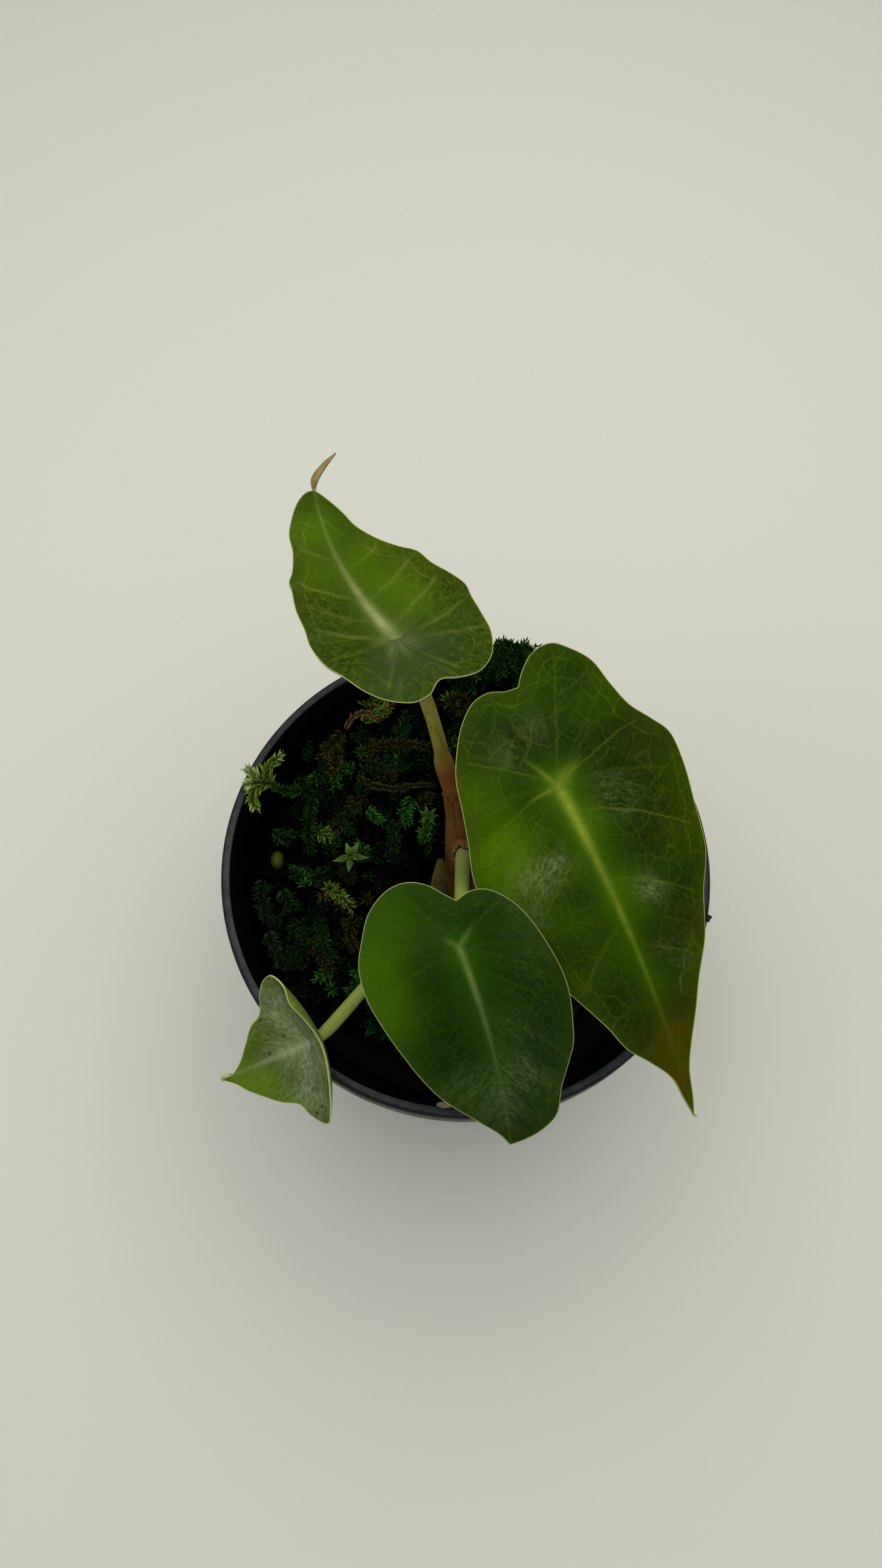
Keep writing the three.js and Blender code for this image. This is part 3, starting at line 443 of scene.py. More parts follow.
def model_pot():
    pick()
    bpy.ops.mesh.primitive_circle_add(
        vertices=POT_SIDES, radius=POT_RINGS[0][0] * MM, fill_type="NGON", location=(0, 0, 0))
    pot = new_piece("nursery_pot")
    bpy.ops.object.mode_set(mode="EDIT")
    for (radius, z), (wider, higher) in zip(POT_RINGS, POT_RINGS[1:]):
        bpy.ops.mesh.extrude_region_move(TRANSFORM_OT_translate={"value": (0, 0, (higher - z) * MM)})
        share = wider / radius
        bpy.ops.transform.resize(value=(share, share, 1), center_override=(0, 0, higher * MM))
    bpy.ops.object.mode_set(mode="OBJECT")
    drill_drain_holes(merged(pot))
    return pot


def black_polypropylene():
    """Moulded polypropylene, dyed black: satin, with faint flow marks, dust and fine scuffs, and a
    painted grey highlight on the flat top of the rim.
    """
    material, tree = new_material("black_polypropylene")
    flow = noise(tree, 3, detail=4, stretch=(1, 1, 0.12))
    dust = noise(tree, 1.1, detail=6, roughness=0.7)
    # Painted highlight: the flat top of the rim is coloured a pale grey, broken up by the dust.
    ring = rescale(tree, object_height(tree), 0.0648, 0.06498)
    colour = layered(
        tree, "#040505", (times(tree, rescale(tree, dust, 0.5, 0.75), 0.15), "#23282d"),
        (times(tree, ring, rescale(tree, dust, 0.35, 0.7, 0.35, 1.0)), "#464c4e"))
    rough = rescale(tree, flow, 0.3, 0.7, 0.28, 0.46)
    return finished(material, colour, rough, bump(tree, flow, 0.03), Specular_IOR_Level=0.22)


settle(model_pot(), "pot_black", "pot", materials=[black_polypropylene()], angle=35)

# %% [markdown]
# A blade of this plant is a leathery sheet, arrow-shaped when young, that hangs from the petiole at
# a hub behind its middle. Ribs leave the midrib in a fan and run to a wavy margin. It could be
# sculpted, but the fan itself is a fine description: each row of a grid is a rib, from the midrib to
# the margin, and the sheet then droops to the tip, the sides and the rear lobes. Each margin point
# below is x, y and the lift of the wave there, in the blade's own plane, with y along the midrib.
# Side veins are a share of the margin's length and a strength. The arms are pale stubs of vein that
# leave the hub: where they end, and a width. Bright green, a painted silvery sheen, brown and painted
# shade in the hollows are round spots: x, y, radius and strength. Specks are dark dots.

# %% The four blades' own measures
BLADES = {
    "leaf_back": dict(
        hub=(-9.8, 21.4, 100), heading=116, pitch=5, roll=2, length=29, back_length=9.5,
        half_width=11.5, tip_droop=2, back_droop=1, left_droop=1.3, right_droop=0.7,
        midrib_bend=-2, midrib_width=0.8,
        arms=[(3.2, -2.6, 0.9), (-2.6, -2.8, 0.8), (-3.4, 0.8, 0.7), (0.4, -3.4, 0.7)],
        notch=(0.7, -9.1, 0), tip=(0.4, 29, 0),
        left=[
            (-1.7, -9.1, -0.5), (-4.5, -7.6, -0.8), (-6.9, -5.4, -0.2), (-8.8, -2.2, 0.4),
            (-10.1, 0.4, 0.2), (-10.7, 4.4, -0.4), (-10.4, 7, -0.2), (-10.3, 10.1, 0.3),
            (-9.6, 13.2, 0.5), (-9.3, 14.9, 0.2), (-8.3, 16.4, -0.3), (-6.8, 19.8, -0.3),
            (-6.3, 22.1, 0.3), (-4.7, 25.1, 0.2), (-2.4, 28.2, -0.2), (-0.8, 29.1, 0),
        ],
        right=[
            (2.5, -8, 0.2), (5.2, -8.6, -0.2), (8.3, -8.6, -0.5), (10.7, -7.1, -0.3),
            (11.9, -4.4, 0.2), (12, -1.4, 0.3), (12.2, 2.1, -0.3), (12.4, 4.3, -0.4),
            (11.2, 6.6, 0), (9.5, 9, 0.4), (8.6, 11.7, 0.3), (6.8, 13.9, -0.3), (4.6, 16.5, -0.3),
            (2.8, 19.5, 0.1), (2.1, 22.7, 0.3), (1, 27.4, 0),
        ],
        tail=[
            (0.2, 27.6, -2.3, 0.5), (0.45, 29.3, -2.4, 0.55), (1, 30.2, -1.5, 1),
            (3, 31.2, -0.5, 0.8), (5.2, 31.8, 0.4, 0.25),
        ],
        tail_radius=0.75,
        veins=dict(
            left=[
                (0.13, 0.9), (0.34, 0.4), (0.47, 0.9), (0.55, 0.5), (0.63, 0.9), (0.76, 0.9),
                (0.86, 0.7),
            ],
            right=[
                (0.13, 1.0), (0.3, 0.6), (0.41, 0.8), (0.53, 0.7), (0.62, 0.6), (0.72, 0.6),
                (0.82, 0.5),
            ],
        ),
        bright=[
            (3, 8, 3.5, 0.6), (2, 15, 3, 0.5), (-3, 22, 3, 0.8), (-6, 14, 2.5, 0.5),
            (5, 3, 3, 0.4),
        ],
        painted_sheen=[
            (-4, -5, 2.6, 0.9), (4, -4, 3, 0.8), (0, -2, 2.5, 0.7), (-8, 5, 2, 0.5),
            (10, 0, 2, 0.4),
        ],
        brown=[(-9, 11, 2, 0.3), (10, 7, 2, 0.3), (4, 18, 1.5, 0.3)],
        shade=[(9, -3, 2.2, 0.5), (-6, 0, 2.2, 0.4), (4, 12, 1.4, 0.4)], specks=[],
    ),
    "leaf_right": dict(
        hub=(11.2, 1.5, 98), heading=-66, pitch=13, roll=-3, length=46.5, back_length=18,
        half_width=16, tip_droop=5, back_droop=1.5, left_droop=3, right_droop=5, midrib_bend=-1,
        midrib_width=0.7, arms=[(-4, -2.3, 0.9), (3, -5.1, 0.4), (4.5, 0.5, 0.4)],
        notch=(-0.6, -13.9, 0), tip=(-0.2, 46.4, 0),
        left=[
            (-2.1, -15.8, 0.2), (-4.6, -17.6, 0), (-7.7, -17.9, -0.3), (-9.6, -16.5, -0.2),
            (-11.7, -13.8, 0.2), (-12.7, -9.9, 0.3), (-14.1, -6.4, 0), (-16.4, -3.7, -0.2),
            (-18.4, -1, -0.3), (-18.3, 3.2, 0), (-17, 9.2, 0.3), (-15.7, 15.2, 0.3),
            (-13.1, 20.1, -0.3), (-10.6, 25.6, -0.2), (-7.4, 29.9, 0.4), (-5.5, 33.4, 0.2),
            (-3.2, 37.6, -0.2), (-1.9, 40.2, 0), (-1, 43.8, 0),
        ],
        right=[
            (1.2, -14, 0.1), (3.4, -14.7, -0.1), (5.6, -14.3, -0.3), (8, -12.3, -0.2),
            (10.3, -8.9, 0.2), (11.7, -5.8, 0.3), (12.5, -1.6, 0), (13.3, 2.4, -0.3),
            (14.4, 6.8, 0), (14.4, 11, 0.2), (12.9, 15, 0.3), (11, 20.5, 0), (8.8, 25.4, -0.3),
            (6.3, 31, 0.3), (5, 34.5, 0.2), (2.9, 37.2, -0.2), (0.8, 40.5, 0), (0.3, 43.7, 0),
        ],
        veins=dict(
            left=[
                (0.11, 0.4), (0.22, 0.2), (0.31, 0.6), (0.43, 0.3), (0.53, 0.9), (0.64, 0.5),
                (0.74, 0.5),
            ],
            right=[
                (0.1, 0.2), (0.2, 0.7), (0.3, 0.25), (0.38, 0.6), (0.48, 0.3), (0.58, 0.5),
                (0.7, 0.4),
            ],
        ),
        bright=[
            (12, 9, 4, 0.9), (9, 4, 3, 0.7), (-1.5, 6, 2, 0.6), (7, 20, 4, 0.3),
            (11, -3, 2.5, 0.5), (-2.5, 15, 2, 0.4),
        ],
        painted_sheen=[
            (4.1, 9.2, 1.5, 0.8), (7.3, 9.8, 1.9, 0.9), (-5.9, 3.6, 1.6, 0.7),
            (-7.5, 4.6, 1.4, 0.5), (-6, 16.5, 1.4, 0.7), (-5.6, 25.6, 1.6, 0.5),
            (4.4, -6.7, 1.6, 0.4), (10.5, 15, 1.8, 0.5), (0, -8, 1.5, 0.4),
        ],
        brown=[
            (-2.3, 34.5, 2.8, 0.8), (0, 41, 3.4, 1), (-14, 0, 3, 0.25), (-13, 10, 2.5, 0.25),
            (-9, 24, 2.5, 0.3),
        ],
        shade=[
            (2.2, -7, 1.8, 0.8), (-12, 8, 2, 0.6), (-8, 10, 1.8, 0.7), (3.6, 14, 1.8, 0.7),
            (-4.6, 23.9, 1.8, 0.7), (-9.7, -3.8, 2.4, 0.6), (6, 20.6, 2, 0.6), (4, 28, 1.6, 0.5),
        ],
        specks=[],
    ),
    "leaf_front": dict(
        hub=(-1.7, -19.7, 98.8), heading=-74, pitch=18, roll=1, length=27, back_length=8,
        half_width=13, tip_droop=4, back_droop=1.2, left_droop=2.4, right_droop=1.6,
        midrib_bend=-0.8, midrib_width=0.3, arms=[(-2.4, -2.2, 0.4), (1.8, -1.6, 0.4)],
        notch=(-1.2, -5.5, -0.2), tip=(0.1, 26.1, 0),
        left=[
            (-3.1, -6.2, 0), (-5.3, -5.8, 0), (-8.1, -3.3, -0.2), (-10.1, 0.6, -0.3),
            (-11.7, 6.2, 0), (-11.9, 9.5, 0.2), (-11.3, 13.5, 0.3), (-10.8, 15.7, 0.2),
            (-9.8, 17.7, -0.2), (-8, 20.8, -0.3), (-6.6, 23.8, 0.1), (-4.6, 25, 0.4),
            (-2.1, 25.8, 0.2),
        ],
        right=[
            (0.1, -6.7, 0), (1.7, -8.2, 0), (4, -9.2, -0.1), (6.7, -8.9, -0.1), (9.6, -6.8, 0),
            (11.3, -3.8, 0.1), (12.5, -0.8, 0.2), (12.6, 3.2, 0.1), (11.5, 7.5, -0.1),
            (10.2, 11, 0.1), (8.7, 14.5, 0.2), (6.8, 17.9, -0.1), (3.4, 21.7, -0.2),
            (1, 24.4, 0.1),
        ],
        veins=dict(
            left=[(0.14, 0.7), (0.34, 0.4), (0.46, 0.4), (0.56, 0.4), (0.67, 0.4), (0.78, 0.3)],
            right=[(0.17, 0.6), (0.36, 0.3), (0.49, 0.5), (0.6, 0.3), (0.7, 0.3), (0.82, 0.3)],
        ),
        bright=[(11, 0, 3.5, 0.9), (11, 6, 3.5, 0.8), (7, -6, 3, 0.4)],
        painted_sheen=[
            (0, 21, 3, 0.9), (4, 18, 2, 0.5), (-5, 17, 3, 0.6), (-9, 4, 2.4, 0.3),
            (-8, -3, 2, 0.4), (-3, 11, 2, 0.3), (3, -2, 2, 0.2),
        ],
        brown=[(0, 26, 1.5, 0.5)],
        shade=[(4.7, 3, 2.4, 0.5), (-7, 6, 2.6, 0.6), (-6.4, 13.5, 2.4, 0.5), (5, 10, 2.4, 0.4)],
        specks=[],
    ),
    "leaf_left": dict(
        hub=(-22.3, -28, 72.4), heading=-155, pitch=12, roll=-8, length=14.5, back_length=6,
        half_width=12, tip_droop=1.2, back_droop=0, left_droop=2, right_droop=0.6, midrib_bend=0,
        curl=dict(radius=0.9, start=-0.8, bow_left=0.035, bow_right=0.02), midrib_width=0.5,
        notch=(0, -2.8, 0), tip=(1, 14.3, 0),
        left=[
            (-3, -2.3, 0), (-6, -1.4, 0), (-9, 0.5, 0), (-11.2, 3, -0.3), (-9.2, 4.5, 0),
            (-7.1, 5.1, 0.3), (-5.6, 7.5, 0), (-3.7, 9.6, -0.2), (-2, 11.3, 0), (-0.7, 12.3, 0),
        ],
        right=[
            (3, -3, 0), (6, -2.8, 0), (9, -0.7, 0.2), (11, 1.2, 0.6), (10.6, 2.5, 0.6),
            (8.9, 3.8, 0.3), (8, 4.4, -0.5), (6.6, 5.1, 0), (5.8, 6.7, 0.2), (3.8, 8.7, 0),
            (1.9, 10.7, 0), (1, 12.4, 0), (1, 13.7, 0.2),
        ],
        veins=dict(
            left=[(0.16, 0.5), (0.3, 0.5), (0.42, 0.6), (0.55, 0.5), (0.7, 0.4)],
            right=[(0.16, 0.5), (0.3, 0.5), (0.42, 0.6), (0.55, 0.5), (0.7, 0.4)],
        ),
        bright=[
            (0.5, 11, 2.2, 1.0), (-2.5, 8.5, 2, 0.9), (4.5, 8, 1.6, 0.6), (-6, 6, 1.4, 0.6),
            (0, -3, 2, 0.9), (6, -2, 3, 0.9), (-6, -2, 3, 0.9),
        ],
        painted_sheen=[
            (0.8, 2, 2.2, 1.0), (5, 1, 2.4, 1.0), (-4, 1.5, 2.8, 0.9), (1.2, 6, 1.0, 0.5),
            (-8, 3, 2, 0.8), (8, 3, 1.3, 0.4),
        ],
        brown=[],
        shade=[(8, 0.5, 1.2, 0.8), (3, -0.4, 1.2, 0.6), (-6, 1.4, 1.0, 0.5), (2.5, 8, 1.2, 0.4)],
        specks=[(6, 5), (1.2, 6), (2.5, 3.1), (-8.7, 2.5), (-9.2, 3.6)], arms=[],
    ),
}
print("margin points:", {name: len(form["left"] + form["right"]) for name, form in BLADES.items()})

# %% [markdown]
# The ribs and veins are sunk a little into the upper face, and the sheet pillows between them,
# which is what breaks the gloss on it. They could be painted alone, but relief that is really there
# catches the light from every side. Each vein is found by its distance in millimetres from a rib of
# the fan, and the same distance later drives its colour.

# %% Blade helpers
RIB_SLOPE = 0.7
RIB_BOW = 0.12
VALLEY = dict(depth=0.5, width=2.8)
VEIN_DEPTH, VEIN_WIDTH, MIDRIB_DEPTH = 0.4, 1.5, 0.1
SPECK_RADIUS = 0.15
BLADE_THICKNESS = 1.3
SIDES = ("left", "right")
ZONES = ("bright", "painted_sheen", "brown", "shade")


def midrib_x(form, y):
    share = np.clip(y / form["length"], 0, 1)
    return form["tip"][0] * share + form["midrib_bend"] * 4 * share * (1 - share)


def blade_height(form, x, y):
    """How high the sheet lies above its own plane at a point of the flat outline."""
    ahead = np.maximum(y, 0) / form["length"]
    behind = np.maximum(-y, 0) / form["back_length"]
    aside = x - midrib_x(form, y)
    droop = np.where(aside < 0, form["left_droop"], form["right_droop"])
    valley = VALLEY["depth"] * (1 - np.exp(-(aside / VALLEY["width"]) ** 2))
    slump = form["tip_droop"] * ahead**2 + form["back_droop"] * behind**2
    return valley - slump - droop * (aside / form["half_width"]) ** 2


def rib_fan(form, rows, columns):
    """The flat blade: x, y, the margin's lift, and the share of each rib's length, side by side."""
    margins = {s: smooth_line([form["notch"], *form[s], form["tip"]], rows + 1) for s in SIDES}
    tip_y = form["tip"][1]
    starts = [np.clip(m[:, 1] - RIB_SLOPE * np.abs(m[:, 0]), 0, tip_y) for m in margins.values()]
    start_y = np.maximum.accumulate((starts[0] + starts[1]) / 2)
    start_y[-1] = tip_y
    start = np.column_stack([midrib_x(form, start_y), start_y])
    reach = np.minimum(1, np.arange(rows + 1) / max(1, np.argmax(start_y > 0)))
    share = np.linspace(0, 1, columns + 1)[None, :, None]
    halves = []
    for margin in margins.values():
        end = margin[:, :2]
        span = np.linalg.norm(end - start, axis=1)
        middle = (start + end) / 2 - np.column_stack([0 * span, RIB_BOW * span * reach])
        path = (
            (1 - share) ** 2 * start[:, None] + 2 * share * (1 - share) * middle[:, None]
            + share**2 * end[:, None]
        )
        lift = margin[:, 2][:, None] * share[0, :, 0] ** 3
        shares = np.repeat(share[:, :, 0], rows + 1, axis=0)
        halves.append(np.dstack([path, lift, shares]))
    left, right = halves
    whole = np.concatenate([left[:, :0:-1], right], axis=1)
    return whole[..., 0], whole[..., 1], whole[..., 2], whole[..., 3], margins


def soft_spots(x, y, spots):
    """Soft round spots on the flat blade, each x, y, radius and strength, added up."""
    total = np.zeros_like(x)
    for at_x, at_y, radius, strength in spots:
        total += strength * np.exp(-((x - at_x) ** 2 + (y - at_y) ** 2) / (2 * radius**2))
    return total


def margin_distance(x, y, margins):
    """How far in mm each point of the flat blade lies from its margin."""
    left, right = (m[::2, :2] for m in margins.values())
    line = np.vstack([left, right[::-1]])
    step = np.roll(line, -1, axis=0) - line
    length = np.maximum((step**2).sum(axis=1), 1e-9)
    away = np.empty_like(x)
    for row in range(len(x)):
        gap = np.stack([x[row], y[row]], axis=1)[:, None] - line[None]
        share = np.clip((gap * step).sum(axis=2) / length, 0, 1)
        away[row] = np.sqrt(((gap - share[..., None] * step) ** 2).sum(axis=2).min(axis=1))
    return away


def vein_phases(form, x, y, rows, columns):
    """A number that is whole on each side vein, the veins' spacing in mm, and how strong each is."""
    row = np.linspace(0, 1, rows + 1)
    phase, force = np.zeros_like(x), np.zeros_like(x)
    for side, span in (("left", slice(0, columns)), ("right", slice(columns, 2 * columns + 1))):
        at, strength = np.array(form["veins"][side]).T
        known = np.concatenate([[0], at, [1]])
        phases = np.concatenate([[-0.5], np.arange(len(at)), [len(at) - 0.5]])
        nearest = np.abs(row[:, None] - at).argmin(axis=1)
        phase[:, span] = np.interp(row, known, phases)[:, None]
        force[:, span] = strength[nearest][:, None]
    spread = np.hypot(np.gradient(x, axis=0), np.gradient(y, axis=0))
    gap = spread / np.maximum(np.gradient(phase, axis=0), 1e-6)
    return phase, gap, force


def line_mask(away, width):
    return np.exp(-((away / width) ** 2))


def blade_masks(form, x, y, share, margins, rows, columns):
    """What the finish needs to know at each point of a blade, and the relief of its veins in mm."""
    phase, gap, force = vein_phases(form, x, y, rows, columns)
    edge = margin_distance(x, y, margins)
    wide = np.minimum(1, force) * line_mask(np.abs(phase - np.rint(phase)) * gap, VEIN_WIDTH)
    aside = np.where(y >= 0, np.abs(x - midrib_x(form, y)), np.hypot(x, y))
    taper = np.clip(1 - y / form["length"], 0, 1)
    along_rib = np.hypot(x - x[:, columns:columns + 1], y - y[:, columns:columns + 1])
    midrib = line_mask(aside, 0.2 + form["midrib_width"] * taper**2) * np.clip(0.15 + taper**2, 0, 1)
    glow = line_mask(aside, 0.7 + 2.2 * taper) * np.clip(0.1 + taper, 0, 1)
    glow = np.clip(glow + 0.6 * line_mask(np.hypot(x, y), 2.6), 0, 1.3)
    for reach_x, reach_y, width in form["arms"]:
        along = np.clip((x * reach_x + y * reach_y) / (reach_x**2 + reach_y**2), 0, 1)
        off = np.hypot(x - along * reach_x, y - along * reach_y)
        midrib = np.maximum(midrib, line_mask(off, width * (1.2 - 0.6 * along)) * (0.8 - 0.7 * along))
    row_share = np.repeat(np.linspace(0, 1, rows + 1)[:, None], x.shape[1], axis=1)
    masks = dict(
        vein_phase=phase, vein_gap=np.clip(gap, 0.2, 40) / (0.26 - 0.12 * share),
        vein_force=force * np.clip((edge - 1) / 0.8, 0, 1) * np.clip(along_rib / 5, 0.15, 1),
        midrib=midrib, glow=glow, edge=edge, keel=0.2 + 0.8 * np.clip(midrib * 1.2, 0, 1),
        rib_along=along_rib, rib_across=row_share * 2.1 * form["length"],
        specks=soft_spots(x, y, [(*at, SPECK_RADIUS, 1.0) for at in form["specks"]]),
    )
    masks.update({zone: np.clip(soft_spots(x, y, form[zone]), 0, 1) for zone in ZONES})
    sunk = VEIN_DEPTH * wide * np.clip(edge / 3, 0, 1) * np.clip(share * 3, 0, 1)
    return masks, -sunk - MIDRIB_DEPTH * midrib


def curled(form, x, y, height):
    """Rolls what lies behind a line of the blade up and over the upper face."""
    curl = form.get("curl")
    if not curl:
        return x, y, height
    line = curl["start"] + np.where(x < 0, curl["bow_left"], curl["bow_right"]) * x**2
    turn = np.maximum(line - y, 0) / curl["radius"]
    flat = height - blade_height(form, x, y)
    rolled = blade_height(form, x, line) + flat + curl["radius"] * (1 - np.cos(turn))
    behind = y < line
    rolled_y = np.where(behind, line - curl["radius"] * np.sin(turn), y)
    return x, rolled_y, np.where(behind, rolled, height)


def in_place(form, x, y, height):
    """Turns points of a blade's own plane to the plant's frame."""
    turn, slope, bank = (math.radians(form[k]) for k in ("heading", "pitch", "roll"))
    along = np.array([
        math.cos(turn) * math.cos(slope), math.sin(turn) * math.cos(slope), -math.sin(slope)])
    level = np.array([math.sin(turn), -math.cos(turn), 0])
    across = level * math.cos(bank) - np.cross(level, along) * math.sin(bank)
    place = np.array(form["hub"]) + x[..., None] * across + y[..., None] * along
    return place + height[..., None] * np.cross(across, along)


def blade_tail(form):
    """The dried drip tip: a thin flattened thread."""
    line = np.array(form["tail"], float)
    line[:, 3] *= form["tail_radius"]
    line = smooth_line(line, 40)
    line[:, :3] = in_place(form, line[:, 0], line[:, 1], line[:, 2])
    return merged(bent_grid("drip_tip", tube_points(line, 14, flatten=0.55)))


def model_blade(name, form, rows, columns):
    x, y, lift, share, margins = rib_fan(form, rows, columns)
    masks, relief = blade_masks(form, x, y, share, margins, rows, columns)
    height = blade_height(form, x, y) + lift + relief
    points = in_place(form, *curled(form, x, y, height))
    piece = merged(bent_grid(name, points, masks), turn=False)
    thick = piece.vertex_groups.new(name="thick")
    weights = np.empty(len(piece.data.vertices))
    piece.data.attributes["keel"].data.foreach_get("value", weights)
    weights = np.rint(weights * 20)
    for step in np.unique(weights):
        thick.add(np.flatnonzero(weights == step).tolist(), step / 20, "REPLACE")
    modified(piece, "SOLIDIFY", thickness=BLADE_THICKNESS * MM, offset=-1, vertex_group="thick",
             thickness_vertex_group=0.0, material_offset=1, material_offset_rim=2,
             use_even_offset=False)
    if "tail" in form:
        own = len(piece.data.polygons)
        piece = joined([piece, blade_tail(form)], name)
        for face in piece.data.polygons[own:]:
            face.material_index = 3
    return piece


print("ribs bow back by", RIB_BOW, "of their length")

# %% [markdown]
# The upper face is a waxy leather: satin green over paler veins, with fine streaks that run along
# the ribs and a net between them. A picture could be wrapped on it, but noise laid along the ribs
# follows every fold and is sharp at any distance. The masks that were kept with the shape say where
# the veins, the brown tip, the fresh green, the painted silvery sheen and the painted shade lie.

# %% Blade finishes
# The pale sheen colour of each look is a painted highlight, and its veil sets how much of that sheen
# shows between the flecks.
LOOKS = {
    "leaf_back": dict(
        deep="#223800", fresh="#3a5000", net="#5e7018", vein="#7c8a40", glow="#5e722a",
        midrib="#a4ac74", bright="#587800", painted_sheen="#4a5a36", brown="#484204", edge="#687230",
        rim="#b4bc84", rough=(0.5, 0.62), shine=0.06, cell=0.7, drawn=True, net_share=0.8,
        wide_share=0.12, vein_share=0.55, soft=2.4, sheen_veil=0.3,
    ),
    "leaf_right": dict(
        deep="#1e3400", fresh="#344e00", net="#485e00", vein="#6e7e24", glow="#487000",
        midrib="#8a9a38", bright="#547400", painted_sheen="#848e64", brown="#544600", edge="#667010",
        rim="#a8b274", rough=(0.36, 0.5), shine=0.05, cell=1.0, drawn=False, net_share=0.4,
        wide_share=0.2, vein_share=0.5, soft=1.4, sheen_veil=0.0,
    ),
    "leaf_front": dict(
        deep="#142c00", fresh="#203e00", net="#38540a", vein="#48600e", glow="#345a00",
        midrib="#74864a", bright="#466a00", painted_sheen="#5e6e42", brown="#404600", edge="#566628",
        rim="#9ca674", rough=(0.48, 0.6), shine=0.06, cell=0.8, drawn=False, net_share=0.45,
        wide_share=0.2, vein_share=0.5, soft=1.6, sheen_veil=0.08,
    ),
    "leaf_left": dict(
        deep="#243600", fresh="#465610", net="#7c8a5c", vein="#8c966c", glow="#66763c",
        midrib="#a4ac8c", bright="#5e7800", painted_sheen="#929c80", brown="#566010", edge="#7c8a38",
        rim="#b8c084", rough=(0.5, 0.62), shine=0.12, cell=0.8, drawn=True, net_share=0.5,
        wide_share=0.1, vein_share=0.35, soft=1.6, sheen_veil=0.1,
    ),
}
UNDERSIDE = dict(deep="#566a10", fresh="#86981a", vein="#a2ac54", rough=0.5)
SPECK_COLOUR = "#141c04"


def along_ribs(tree):
    """A place on the blade in metres, across the ribs and along them, swayed a little."""
    across, along = (times(tree, attribute(tree, name), MM) for name in ("rib_across", "rib_along"))
    flat = add_node(tree, "CombineXYZ", {0: across, 1: along}).outputs[0]
    return swayed(tree, flat, 2 / 3, (1, 1, 0))


def side_veins(tree, soft=1.0):
    """A mask of the side veins: lines where the phase that the shape carries is whole."""
    gap = attribute(tree, "vein_gap")
    sway = reckon(tree, "MULTIPLY_ADD", noise(tree, 2.2), 5.0, -2.5)
    phase = reckon(tree, "ADD", attribute(tree, "vein_phase"), reckon(tree, "DIVIDE", sway, gap))
    away = times(tree, reckon(tree, "PINGPONG", phase, 0.5), gap)
    return times(tree, rescale(tree, away, 0.1, 1.1 * soft, 1.0, 0.0), attribute(tree, "vein_force"))


def edge_loop(tree):
    """A mask of the vein that wanders round the blade, a little inside its margin."""
    sway = reckon(tree, "MULTIPLY_ADD", noise(tree, 4.5), 4.4, -0.1)
    away = reckon(tree, "ABSOLUTE", reckon(tree, "SUBTRACT", attribute(tree, "edge"), sway))
    shown = rescale(tree, noise(tree, 3, detail=2), 0.4, 0.6)
    return times(tree, rescale(tree, away, 0.04, 0.17, 0.6, 0.0), shown)


def fine_net(tree, place, cell, line, drawn=1.0):
    """The net between the veins: the borders of small cells, which may be drawn out."""
    scaled = add_node(tree, "Mapping", {"Vector": place, "Scale": (1, drawn, 1)}).outputs[0]
    edge = add_node(tree, "TexVoronoi", {"Vector": scaled, "Scale": 1 / (cell * MM)},
                    feature="DISTANCE_TO_EDGE").outputs["Distance"]
    return rescale(tree, edge, 0.0, line, 1.0, 0.0)


